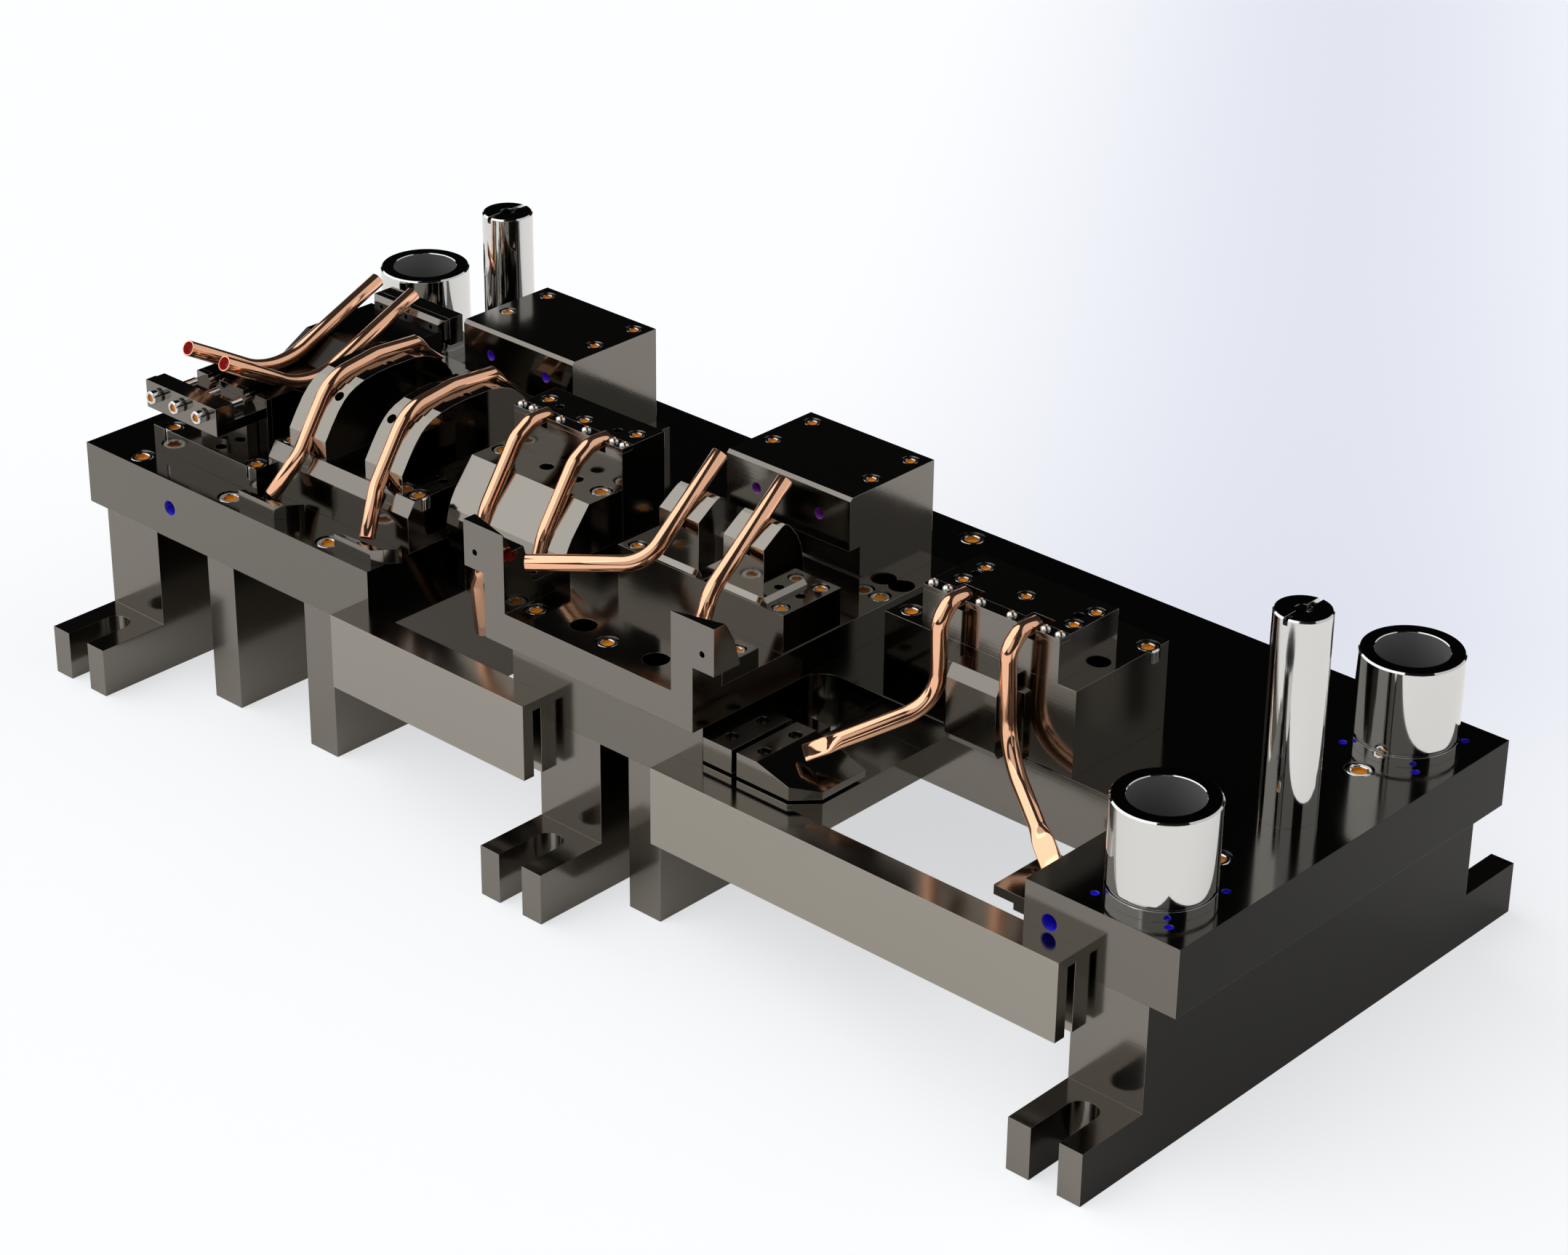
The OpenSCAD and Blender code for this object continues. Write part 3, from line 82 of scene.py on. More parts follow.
class DIE_PG_sizes(bpy.types.PropertyGroup):
    """Sizes of the pieces that are modelled here"""

    tube_diameter: bpy.props.FloatProperty(
        name="Tube diameter", description="Outer diameter of the copper tubes", default=10 * MM,
        unit="LENGTH")
    tube_wall: bpy.props.FloatProperty(
        name="Tube wall", description="Wall thickness of the copper tubes", default=1 * MM,
        unit="LENGTH")
    flat_width: bpy.props.FloatProperty(
        name="Flat width", description="Width of a flattened tube end", default=13 * MM,
        unit="LENGTH")
    flat_thickness: bpy.props.FloatProperty(
        name="Flat thickness", description="Thickness of a flattened tube end", default=2.6 * MM,
        unit="LENGTH")
    bushing_bore: bpy.props.FloatProperty(
        name="Bushing bore", description="Bore of the guide bushings", default=42 * MM,
        unit="LENGTH")
    edge_radius: bpy.props.FloatProperty(
        name="Edge radius", description="Radius that the ground edges seem to have", default=0.35 * MM,
        unit="LENGTH")


class DIE_PG_colours(bpy.types.PropertyGroup):
    """Colours of the finishes"""

    steel: bpy.props.FloatVectorProperty(
        name="Ground steel", description="Colour of the plates' ground faces", subtype="COLOR", size=3,
        min=0, max=1, default=(0.214, 0.200, 0.178))
    chrome: bpy.props.FloatVectorProperty(
        name="Chrome", description="Colour of bushings, posts and screws", subtype="COLOR", size=3,
        min=0, max=1, default=(0.72, 0.72, 0.71))
    copper: bpy.props.FloatVectorProperty(
        name="Copper", description="Colour of the tubes", subtype="COLOR", size=3,
        min=0, max=1, default=(0.98, 0.54, 0.34))
    lining: bpy.props.FloatVectorProperty(
        name="Tube lining", description="Colour inside the tubes", subtype="COLOR", size=3,
        min=0, max=1, default=(0.55, 0.012, 0.008))
    socket: bpy.props.FloatVectorProperty(
        name="Socket", description="Colour inside the screws' sockets", subtype="COLOR", size=3,
        min=0, max=1, default=(0.70, 0.26, 0.014))
    tap: bpy.props.FloatVectorProperty(
        name="Tap", description="Colour of the tapped holes' linings", subtype="COLOR", size=3,
        min=0, max=1, default=(0.01, 0.0, 0.70))
    floor: bpy.props.FloatVectorProperty(
        name="Floor", description="Colour of the floor", subtype="COLOR", size=3,
        min=0, max=1, default=(0.93, 0.94, 0.955))


def sizes():
    """The scene's sizes."""
    return bpy.context.scene.die_sizes


def colours():
    """The scene's colours."""
    return bpy.context.scene.die_colours


# Shader node groups


GRAIN_STRETCH = (0.02, 1.0, 1.0)
GRAIN_SCALE = 900.0
CLOUD_SCALE = 14.0
NOISE_DETAIL = 3.0
EDGE_SAMPLES = 6
EDGE_GAIN = 9.0
# Where the painted face shade sets in on a face's normal, and how steeply it deepens
FACING_FROM = 0.93
FACING_RISE = 20.0


def new_group(name, inputs, outputs):
    """An empty shader group with its sockets; returns the group, its input node and its output node."""
    group = bpy.data.node_groups.new(name, "ShaderNodeTree")
    for label, kind, default in inputs:
        socket = group.interface.new_socket(label, in_out="INPUT", socket_type="NodeSocket" + kind)
        socket.default_value = default
    for label, kind in outputs:
        group.interface.new_socket(label, in_out="OUTPUT", socket_type="NodeSocket" + kind)
    return group, group.nodes.new("NodeGroupInput"), group.nodes.new("NodeGroupOutput")


def add(tree, kind, **values):
    """A new node with its settings; a value whose name is an input goes on that input."""
    node = tree.nodes.new("ShaderNode" + kind)
    for name, value in values.items():
        if hasattr(node, name):
            setattr(node, name, value)
        else:
            node.inputs[name.replace("_", " ")].default_value = value
    return node


def maths(tree, operation, a, b=0.0, clamp=False):
    """A math node whose two inputs are sockets or numbers; returns its output."""
    node = tree.nodes.new("ShaderNodeMath")
    node.operation = operation
    node.use_clamp = clamp
    for socket, value in zip(node.inputs, (a, b)):
        if isinstance(value, bpy.types.NodeSocket):
            tree.links.new(value, socket)
        else:
            socket.default_value = value
    return node.outputs[0]


def mix(tree, factor, a, b):
    """A colour mix; its factor is a socket and its ends are sockets or colours. Returns its output."""
    node = add(tree, "Mix", data_type="RGBA")
    tree.links.new(factor, node.inputs["Factor"])
    for label, value in (("A", a), ("B", b)):
        if isinstance(value, bpy.types.NodeSocket):
            tree.links.new(value, node.inputs[label])
        else:
            node.inputs[label].default_value = (*value, 1)
    return node.outputs["Result"]


def build_ground_grain():
    """Fine lines that a surface grinder leaves, with a slow cloudiness between them."""
    group, start, end = new_group("ground_grain",
        [("Scale", "Float", GRAIN_SCALE), ("Stretch", "Vector", GRAIN_STRETCH)],
        [("Height", "Float"), ("Cloud", "Float")])
    place = add(group, "TexCoord")
    stretched = add(group, "VectorMath", operation="MULTIPLY")
    group.links.new(place.outputs["Object"], stretched.inputs[0])
    group.links.new(start.outputs["Stretch"], stretched.inputs[1])
    lines = add(group, "TexNoise", Detail=NOISE_DETAIL)
    group.links.new(stretched.outputs[0], lines.inputs["Vector"])
    group.links.new(start.outputs["Scale"], lines.inputs["Scale"])
    clouds = add(group, "TexNoise", Scale=CLOUD_SCALE, Detail=NOISE_DETAIL)
    group.links.new(place.outputs["Object"], clouds.inputs["Vector"])
    group.links.new(lines.outputs[0], end.inputs["Height"])
    group.links.new(clouds.outputs[0], end.inputs["Cloud"])
    return group


def build_edge_shine():
    """Rounds the edges' normals and marks where they are, for worn bright edges."""
    group, start, end = new_group("edge_shine",
        [("Radius", "Float", 0.0007)], [("Normal", "Vector"), ("Edge", "Float")])
    bevel = add(group, "Bevel", samples=EDGE_SAMPLES)
    group.links.new(start.outputs["Radius"], bevel.inputs["Radius"])
    shape = add(group, "NewGeometry")
    dot = add(group, "VectorMath", operation="DOT_PRODUCT")
    group.links.new(bevel.outputs[0], dot.inputs[0])
    group.links.new(shape.outputs["Normal"], dot.inputs[1])
    away = maths(group, "SUBTRACT", 1.0, dot.outputs["Value"], clamp=True)
    group.links.new(maths(group, "MULTIPLY", away, EDGE_GAIN, clamp=True), end.inputs["Edge"])
    group.links.new(bevel.outputs[0], end.inputs["Normal"])
    return group


def build_painted_face_shade():
    """Paints shade onto the faces that look up and those that look right, darkening them by how they
    face.
    """
    group, start, end = new_group("painted_face_shade",
        [("Colour", "Color", (0.5, 0.5, 0.5, 1)), ("Top", "Float", 0.3), ("Side", "Float", 0.3)],
        [("Colour", "Color")])
    place = add(group, "TexCoord")
    parts = add(group, "SeparateXYZ")
    group.links.new(place.outputs["Normal"], parts.inputs[0])
    painted_shades = []
    for axis, share in (("Z", "Top"), ("X", "Side")):
        past = maths(group, "SUBTRACT", parts.outputs[axis], FACING_FROM)
        facing = maths(group, "MULTIPLY", past, FACING_RISE, clamp=True)
        darker = maths(group, "SUBTRACT", start.outputs[share], 1.0)
        painted_shades.append(maths(group, "ADD", 1.0, maths(group, "MULTIPLY", facing, darker)))
    scaled = add(group, "VectorMath", operation="SCALE")
    group.links.new(start.outputs["Colour"], scaled.inputs[0])
    group.links.new(maths(group, "MULTIPLY", *painted_shades), scaled.inputs["Scale"])
    group.links.new(scaled.outputs[0], end.inputs["Colour"])
    return group


GROUP_BUILDERS = {
    "ground_grain": build_ground_grain,
    "edge_shine": build_edge_shine,
    "painted_face_shade": build_painted_face_shade,
}


def use_group(material, name, **values):
    """Places a shared group in a material, building it the first time."""
    node = material.node_tree.nodes.new("ShaderNodeGroup")
    node.node_tree = bpy.data.node_groups.get(name) or GROUP_BUILDERS[name]()
    for label, value in values.items():
        node.inputs[label].default_value = value
    return node


# Materials


BUMP_DEPTH = 0.2 * MM
WORN_GAIN = 1.35
METAL_CLOUD = 0.18
LINING_CLOUD = 0.2
LINING_GRAIN = 0.08
LINING_GRAIN_SCALE = 500.0


def new_material(name):
    """A material with nodes; returns it, its node tree and its shader."""
    made = bpy.data.materials.new(name)
    made.use_nodes = True
    return made, made.node_tree, made.node_tree.nodes["Principled BSDF"]


def clouded(tree, lines, roughness, share):
    """The roughness given, with a share of the grain's cloudiness on it."""
    cloudy = maths(tree, "MULTIPLY", maths(tree, "SUBTRACT", lines.outputs["Cloud"], 0.5), share)
    return maths(tree, "ADD", roughness, cloudy, clamp=True)


def machined(name, colour, roughness, top=1.0, side=1.0, grain=0.06, metallic=1.0, edge=0.05):
    """A machined metal with grinding lines and bright rounded edges; top and side set how much shade is
    painted on the faces that look up and those that look right.
    """
    made, tree, shader = new_material(name)
    shader.inputs["Metallic"].default_value = metallic
    # Painted shade on the faces that look up and those that look right
    painted_shade = use_group(made, "painted_face_shade", Colour=(*colour, 1), Top=top, Side=side)
    edges = use_group(made, "edge_shine", Radius=sizes().edge_radius)
    lines = use_group(made, "ground_grain")
    worn = [min(1.0, WORN_GAIN * c) for c in colours().chrome]
    factor = maths(tree, "MULTIPLY", edges.outputs["Edge"], edge)
    tree.links.new(mix(tree, factor, painted_shade.outputs["Colour"], worn), shader.inputs["Base Color"])
    tree.links.new(clouded(tree, lines, roughness, METAL_CLOUD), shader.inputs["Roughness"])
    bump = add(tree, "Bump", Strength=grain, Distance=BUMP_DEPTH)
    tree.links.new(lines.outputs["Height"], bump.inputs["Height"])
    tree.links.new(edges.outputs["Normal"], bump.inputs["Normal"])
    tree.links.new(bump.outputs[0], shader.inputs["Normal"])
    return made


def plain(name, colour, roughness, metallic=0.0):
    """A simple finish with a slight cloudiness, for linings and holes."""
    made, tree, shader = new_material(name)
    lines = use_group(made, "ground_grain", Scale=LINING_GRAIN_SCALE)
    shader.inputs["Base Color"].default_value = (*colour, 1)
    shader.inputs["Metallic"].default_value = metallic
    tree.links.new(clouded(tree, lines, roughness, LINING_CLOUD), shader.inputs["Roughness"])
    bump = add(tree, "Bump", Strength=LINING_GRAIN, Distance=BUMP_DEPTH)
    tree.links.new(lines.outputs["Height"], bump.inputs["Height"])
    tree.links.new(bump.outputs[0], shader.inputs["Normal"])
    return made


def material(name):
    """A finish by name, made once."""
    made = bpy.data.materials.get(name)
    if made:
        return made
    c = colours()

    def steel(share):
        return [share * v for v in c.steel]

    # top and side set the painted shade: how dark the faces that look up and those that look right are
    # made, such as the chrome's nearly black tops and the nearly black right ends of the shoe and the
    # far riser
    metals = {
        "ground_steel": dict(colour=steel(1.0), roughness=0.11),
        "shoe_steel": dict(colour=steel(0.85), roughness=0.12, top=0.6, side=0.04, edge=0.0),
        "riser_steel": dict(colour=steel(1.0), roughness=0.13, side=0.85),
        "end_steel": dict(colour=steel(1.0), roughness=0.13, side=0.04, edge=0.0),
        "bar_steel": dict(colour=steel(1.55), roughness=0.16, side=0.6),
        "form_steel": dict(colour=steel(1.35), roughness=0.08, top=0.8, grain=0.03),
        "black_steel": dict(colour=steel(0.12), roughness=0.22, top=0.6, side=0.6),
        "chrome": dict(colour=c.chrome, roughness=0.07, top=0.10, grain=0.02, edge=0.2),
        "screw_chrome": dict(colour=c.chrome, roughness=0.12, top=0.8, grain=0.02, edge=0.3),
        "copper": dict(colour=c.copper, roughness=0.09, grain=0.004, metallic=0.96, edge=0.0),
    }
    linings = {
        "tube_lining": dict(colour=c.lining, roughness=0.4),
        "bore_steel": dict(colour=(0.34, 0.34, 0.33), roughness=0.22, metallic=0.6),
        "socket_orange": dict(colour=c.socket, roughness=0.45),
        "tap_blue": dict(colour=c.tap, roughness=0.4),
        "tap_violet": dict(colour=(0.12, 0.01, 0.75), roughness=0.4),
        "tap_purple": dict(colour=(0.2, 0.01, 0.35), roughness=0.4),
    }
    if name in metals:
        return machined(name, **metals[name])
    return plain(name, **linings[name])


# Mesh helpers


WELD_DIGITS = 5


def new_piece(name, mesh, body, materials, replaces=None):
    """Puts a mesh in the scene as a piece that rides on a body."""
    piece = bpy.data.objects.new(name, mesh)
    bpy.context.scene.collection.objects.link(piece)
    for each in materials:
        mesh.materials.append(material(each))
    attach(piece, body)
    if replaces:
        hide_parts(replaces)
    return piece


def mesh_from(name, build):
    """A mesh whose faces the given function adds to a bmesh."""
    made = bmesh.new()
    build(made)
    mesh = bpy.data.meshes.new(name)
    made.normal_update()
    made.to_mesh(mesh)
    made.free()
    return mesh


def skin_rings(made, rings, finish=0, smooth=True):
    """Joins rings of points with quads; returns the rings' vertices."""
    rows = [[made.verts.new(p) for p in ring] for ring in rings]
    for low, high in zip(rows, rows[1:]):
        count = len(low)
        for j in range(count):
            k = (j + 1) % count
            face = made.faces.new((low[j], low[k], high[k], high[j]))
            face.smooth = smooth
            face.material_index = finish
    return rows


def circle_points(centre, u, v, radius, count):
    """A ring of points round a centre, in the plane of u and v."""
    return [centre + radius * (u * math.cos(a) + v * math.sin(a))
        for a in (2 * math.pi * j / count for j in range(count))]


def lathe(made, axis, profile, count, finishes):
    """Turns a profile of (radius, height) points round an upright axis, with a finish for each span."""
    x, y = Vector((1, 0, 0)), Vector((0, 1, 0))
    for finish, low, high in zip(finishes, profile, profile[1:]):
        rings = [circle_points(axis + Vector((0, 0, h)), x, y, r, count) for r, h in (low, high)]
        skin_rings(made, rings, finish)


def islands(node):
    """The boxes of a CAD node's separate solids, as pairs of lowest and highest corners."""
    mesh = frame["nodes"][node].data
    keys = [tuple(round(c, WELD_DIGITS) for c in vertex.co) for vertex in mesh.vertices]
    parent = {key: key for key in keys}

    def root(key):
        while parent[key] != key:
            parent[key] = parent[parent[key]]
            key = parent[key]
        return key

    for polygon in mesh.polygons:
        first = root(keys[polygon.vertices[0]])
        for index in polygon.vertices[1:]:
            parent[root(keys[index])] = first
    groups = {}
    for key in keys:
        groups.setdefault(root(key), []).append(key)
    boxes = []
    for points in groups.values():
        low = Vector(min(p[i] for p in points) for i in range(3))
        high = Vector(max(p[i] for p in points) for i in range(3))
        boxes.append((low, high))
    return sorted(boxes, key=lambda pair: tuple(pair[0]))


def body_of_node(node):
    """The CAD body that carries a node."""
    for body, nodes in frame["record"]["behaviour"]["bodies"].items():
        if node in nodes:
            return body
    raise KeyError(node)


# Screws


# Ratios to the head's diameter
HEAD_RATIO = 0.62
SOCKET_RATIO = 0.62
BUTTON_SOCKET_RATIO = 0.42
CHAMFER_RATIO = 0.07
MOUTH_DEPTH_RATIO = 0.03
TIP_RATIO = 0.02
# Ratio to the head's radius
SHANK_RATIO = 0.6
# Ratios to the head's height: how deep the socket's floor and its middle lie
FLOOR_DEPTH_RATIO = 0.22
TIP_DEPTH_RATIO = 0.24
# Ratios to the distance across the socket: its countersunk lead and its floor
LEAD_RATIO = 1.04
FLOOR_RATIO = 0.98
# Screws with smaller heads are domed buttons; the profile is in shares of the radius and the height
BUTTON_LIMIT = 7 * MM
BUTTON_PROFILE = ((1, 1), (1, 0.75), (0.93, 0.5), (0.82, 0.3), (0.6, 0.08), (0.5, 0))
# A screw has a shank when it is this much longer than its head, and lies along Y when it is this
# much longer than wide
SHANK_FROM = 1.01
LYING_FROM = 1.8
SCREW_SIDES = 48


def hexagon_points(centre, across, count):
    """A hexagon's outline as a ring of points, across its corners."""
    flat = across / 2 * math.cos(math.pi / 6)
    ring = []
    for j in range(count):
        a = 2 * math.pi * j / count
        radius = flat / math.cos((a % (math.pi / 3)) - math.pi / 6)
        ring.append(centre + Vector((radius * math.cos(a), radius * math.sin(a), 0)))
    return ring


def screw_outline(diameter, length, head):
    """A screw's outline from its tip up to the rim of its head, as (radius, height) points."""
    radius = diameter / 2
    if diameter < BUTTON_LIMIT:
        return [(radius * c, -length * d) for c, d in BUTTON_PROFILE]
    chamfer = CHAMFER_RATIO * diameter
    outline = []
    if length > head * SHANK_FROM:
        shank = SHANK_RATIO * radius
        outline = [(shank, -length), (shank, -head)]
    return [*outline, (radius, -head), (radius, -chamfer), (radius - chamfer, 0)]


def add_screw(made, place, diameter, length):
    """A socket head screw; its head's top is at the place's origin and its shank points down Z."""
    head = min(HEAD_RATIO * diameter, length)
    start = len(made.verts)
    x, y, up = Vector((1, 0, 0)), Vector((0, 1, 0)), Vector((0, 0, 1))
    outline = screw_outline(diameter, length, head)
    across = (BUTTON_SOCKET_RATIO if diameter < BUTTON_LIMIT else SOCKET_RATIO) * diameter
    for span in zip(outline, outline[1:]):
        skin_rings(made, [circle_points(up * h, x, y, r, SCREW_SIDES) for r, h in span])
    rim = circle_points(Vector((0, 0, 0)), x, y, outline[-1][0], SCREW_SIDES)
    lead = circle_points(Vector((0, 0, 0)), x, y, across / 2 * LEAD_RATIO, SCREW_SIDES)
    mouth = hexagon_points(up * (-MOUTH_DEPTH_RATIO * diameter), across, SCREW_SIDES)
    floor = hexagon_points(up * (-FLOOR_DEPTH_RATIO * head), across * FLOOR_RATIO, SCREW_SIDES)
    tip = circle_points(up * (-TIP_DEPTH_RATIO * head), x, y, TIP_RATIO * diameter, SCREW_SIDES)
    skin_rings(made, [rim, lead], smooth=False)
    skin_rings(made, [lead, mouth], smooth=False)
    skin_rings(made, [mouth, floor], finish=1, smooth=False)
    rows = skin_rings(made, [floor, tip], finish=1, smooth=False)
    made.faces.new(rows[-1]).material_index = 1
    made.verts.ensure_lookup_table()
    for vertex in made.verts[start:]:
        vertex.co = place @ vertex.co


def screw_places(node):
    """Where a CAD node's screws are: a matrix, a head diameter and a length for each."""
    places = []
    for low, high in islands(node):
        size = high - low
        middle = (low + high) / 2
        if size.y > LYING_FROM * size.x and size.y > size.z:
            turn = Matrix.Rotation(math.pi / 2, 4, "X")
            places.append((Matrix.Translation((middle.x, low.y, middle.z)) @ turn, size.x, size.y))
        else:
            places.append((Matrix.Translation((middle.x, middle.y, high.z)), size.x, size.z))
    return places


class DIE_OT_screws(bpy.types.Operator):
    """Adds the socket head screws, one object for each station's group"""

    bl_idname = "die.screws"
    bl_label = "Screws"

    def execute(self, context):
        for node in SCREW_NODES:
            def build(made, node=node):
                for place, diameter, length in screw_places(node):
                    add_screw(made, place, diameter, length)
            name = f"{node}_heads"
            finishes = ["screw_chrome", "socket_orange"]
            new_piece(name, mesh_from(name, build), body_of_node(node), finishes, node)
        return {"FINISHED"}


# Guide bushings


RING_TOP = 6 * MM
NECK_TOP = 8.6 * MM
NECK_DEPTH = 1.6 * MM
SLEEVE_CHAMFER = 1 * MM
SLEEVE_RIM = 0.5 * MM
SPIGOT_RADIUS = 26 * MM
SLEEVE_SIDES = 128


class DIE_OT_bushings(bpy.types.Operator):
    """Adds the three chromed guide bushings with their clamping grooves"""

    bl_idname = "die.bushings"
    bl_label = "Guide bushings"

    def execute(self, context):
        for node in BUSHING_NODES:
            low, high = (Vector(corner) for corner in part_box(node))
            outer = (high.x - low.x) / 2
            neck = outer - NECK_DEPTH
            bore = sizes().bushing_bore / 2
            deck = SHOE_HIGH.z
            axis = Vector(((low.x + high.x) / 2, (low.y + high.y) / 2, 0))
            profile = [
                (bore, low.z), (SPIGOT_RADIUS, low.z), (SPIGOT_RADIUS, deck), (outer, deck),
                (outer, deck + RING_TOP), (neck, deck + RING_TOP),
                (neck, deck + NECK_TOP), (outer, deck + NECK_TOP),
                (outer, high.z - SLEEVE_CHAMFER), (outer - SLEEVE_CHAMFER, high.z),
                (bore + SLEEVE_RIM, high.z), (bore, high.z - SLEEVE_RIM), (bore, low.z)]
            finishes = [0] * (len(profile) - 2) + [1]
            name = f"{node}_sleeve"
            mesh = mesh_from(name, lambda made: lathe(made, axis, profile, SLEEVE_SIDES, finishes))
            new_piece(name, mesh, body_of_node(node), ["chrome", "bore_steel"], node)
        return {"FINISHED"}


# Tubes


def unit(v):
    """The direction of a vector."""
    return v.normalized()


def route_stations(path, bends, step):
    """Points and directions along a path whose corners are bent to the radii given in millimetres."""
    stations = [(path[0], unit(path[1] - path[0]))]
    for before, corner, after, radius in zip(path, path[1:], path[2:], bends):
        bend = radius * MM
        u, v = unit(corner - before), unit(after - corner)
        turn = u.angle(v)
        inward = unit(v - v.dot(u) * u)
        centre = corner - u * (bend * math.tan(turn / 2)) + inward * bend
        steps = max(2, math.ceil(turn / step))
        for k in range(steps + 1):
            a = turn * k / steps
            stations.append((centre - inward * (bend * math.cos(a)) + u * (bend * math.sin(a)),
                u * math.cos(a) + inward * math.sin(a)))
    stations.append((path[-1], unit(path[-1] - path[-2])))
    return stations


def section(station, width, thickness, square, count):
    """A ring round a station, wide across X; its corners are squarer where square is under 1."""
    place, u = station
    s = unit(Vector((1, 0, 0)) - u.x * u)
    q = u.cross(s)
    ring = []
    for j in range(count):
        a = 2 * math.pi * j / count
        c, d = math.cos(a), math.sin(a)
        ring.append(place + s * (width / 2 * math.copysign(abs(c) ** square, c))
            + q * (thickness / 2 * math.copysign(abs(d) ** square, d)))
    return ring


def smoothstep(t):
    """A smooth rise from 0 to 1."""
    t = min(1.0, max(0.0, t))
    return t * t * (3 - 2 * t)


TUBE_SIDES = 40
BEND_STEP = math.radians(4)
LIP = 0.25 * MM
BORE_DEPTH = 5 * MM
BORE_END_RATIO = 0.1
# A flattened end: the share of its run in which the section changes, its corners and its slit
FLAT_NECK = 0.45
FLAT_STEPS = 12
FLAT_SQUARE = 0.6
SLIT_INSET = 2.4 * MM
SLIT_HEIGHT = 0.5 * MM
SLIT_DEPTH = 4 * MM
SLIT_TAPER = 0.1 * MM


def round_section(station, width):
    """A round ring of the width given."""
    return section(station, width, width, 1, TUBE_SIDES)


def open_mouth(station, outward):
    """Rings from deep inside an open end, and rings over its lip; outward points out of the mouth."""
    place, u = station
    outer = sizes().tube_diameter
    bore = outer - 2 * sizes().tube_wall
    deep, inside = place - outward * BORE_DEPTH, place - outward * LIP
    lining = [((deep, u), BORE_END_RATIO * bore), ((deep, u), bore), ((inside, u), bore)]
    lip = [((place, u), bore + 2 * LIP), ((place, u), outer - 2 * LIP), ((inside, u), outer)]
    return [round_section(*ring) for ring in lining], [round_section(*ring) for ring in lip]


def flat_rings(last, tip):
    """The rings of an end that is flattened out to a tip, and those of its slit."""
    outer, width, thickness = sizes().tube_diameter, sizes().flat_width, sizes().flat_thickness
    run = tip - last[0]
    u = unit(run)
    rings = []
    for k in range(FLAT_STEPS + 1):
        t = k / FLAT_STEPS
        blend = smoothstep(t)
        station = (last[0] + run * (FLAT_NECK * t), unit(last[1].lerp(u, smoothstep(t * 2))))
        wide = outer + (width - outer) * blend
        thick = outer + (thickness - outer) * blend
        rings.append(section(station, wide, thick, 1 + (FLAT_SQUARE - 1) * blend, TUBE_SIDES))
    slit_width = width - SLIT_INSET
    deep_width = slit_width - 2 * SLIT_TAPER
    rings.append(section((tip - u * LIP, u), width, thickness, FLAT_SQUARE, TUBE_SIDES))
    rings.append(section((tip, u), width - 2 * LIP, thickness - 2 * LIP, FLAT_SQUARE, TUBE_SIDES))
    slit = section((tip, u), slit_width, SLIT_HEIGHT, FLAT_SQUARE, TUBE_SIDES)
    deep_height = SLIT_HEIGHT - SLIT_TAPER
    deep = section((tip - u * SLIT_DEPTH, u), deep_width, deep_height, FLAT_SQUARE, TUBE_SIDES)
    return [*rings, slit], [slit, deep]


def add_tube(made, path, bends, tip=None):
    """A hollow tube, open at its start, and at its end either open or flattened out to a tip."""
    stations = route_stations(path, bends, BEND_STEP)
    first, last = stations[0], stations[-1]
    lining, lip = open_mouth(first, -first[1])
    skin_rings(made, [*lining, lip[0]], finish=1)
    body = [round_section(station, sizes().tube_diameter) for station in stations[1:-1]]
    if tip is None:
        end_lining, end_lip = open_mouth(last, last[1])
        skin_rings(made, [*lip, *body, *reversed(end_lip)])
        skin_rings(made, [end_lip[0], *reversed(end_lining)], finish=1)
        return
    rings, slit = flat_rings(last, tip)
    skin_rings(made, [*lip, *body, *rings])
    skin_rings(made, slit, finish=1)


# The middle of each pair and half the distance between its tubes, in mm from the shoe's left end;
# then the middles of the cam pad and the shelf
BEND_X, BEND_OFF = 80.4, 17.5
SADDLE_X, SADDLE_OFF = 205.9, 35
FLARE_X, FLARE_OFF = 335.5, 25
PINCH_X, PINCH_OFF = 490.2, 25.5
PIERCE_X, PIERCE_OFF = 674.4, 25
CAM_X = 576.2
SHELF_X = 743.1
SIDES = (-1, 1)

# Each function gives its station's two tubes as the path's corners, the bends' radii and the
# flattened tip, or none


def level_route(x, route):
    """Points in the upright plane at x, from pairs of y and z."""
    return [die(x, y, z) for y, z in route]


def bend_paths():
    """Two plain bends side by side."""
    route = [(38, 215), (107, 175.5), (199, 214)]
    return [(level_route(BEND_X + side * BEND_OFF, route), [55], None) for side in SIDES]


def saddle_paths():
    """Two tubes over the round forms, whose feet stand apart and whose tips are flattened."""
    route = [(35.5, 177.5), (62.7, 219), (100, 223.6), (134, 221.5)]
    paths = []
    for side in SIDES:
        x = SADDLE_X + side * SADDLE_OFF
        path = [die(x + side * 9, 18.5, 151.5)] + level_route(x, route)
        paths.append((path, [28] * 3, die(x, 152, 207)))
    return paths


def flare_paths():
    """Two tubes down the form's front, whose lower ends spread and reach under it."""
    route = [
        (115, 222, 0), (100, 222, 0), (88, 215, 0), (62.2, 177, 0), (56.5, 160, 0), (56, 138, 0),
        (62, 124, 10), (77, 80, 23)]
    bends = [10, 16, 30, 30, 12, 12]
    return [([die(FLARE_X + side * (FLARE_OFF + spread), y, z) for y, z, spread in route], bends, None)
        for side in SIDES]


def pinch_paths():
    """Two tubes from over the small forms down to the fork's posts; the left one runs far out."""
    route = [(104, 249.5), (42.5, 200)]
    left, right = PINCH_X - PINCH_OFF, PINCH_X + PINCH_OFF
    left_path = level_route(left, route) + [die(406, 3, 195)]
    right_path = level_route(right, route) + [die(right + 1.5, 31, 176)]
    return [(left_path, [24], None), (right_path, [24], None)]


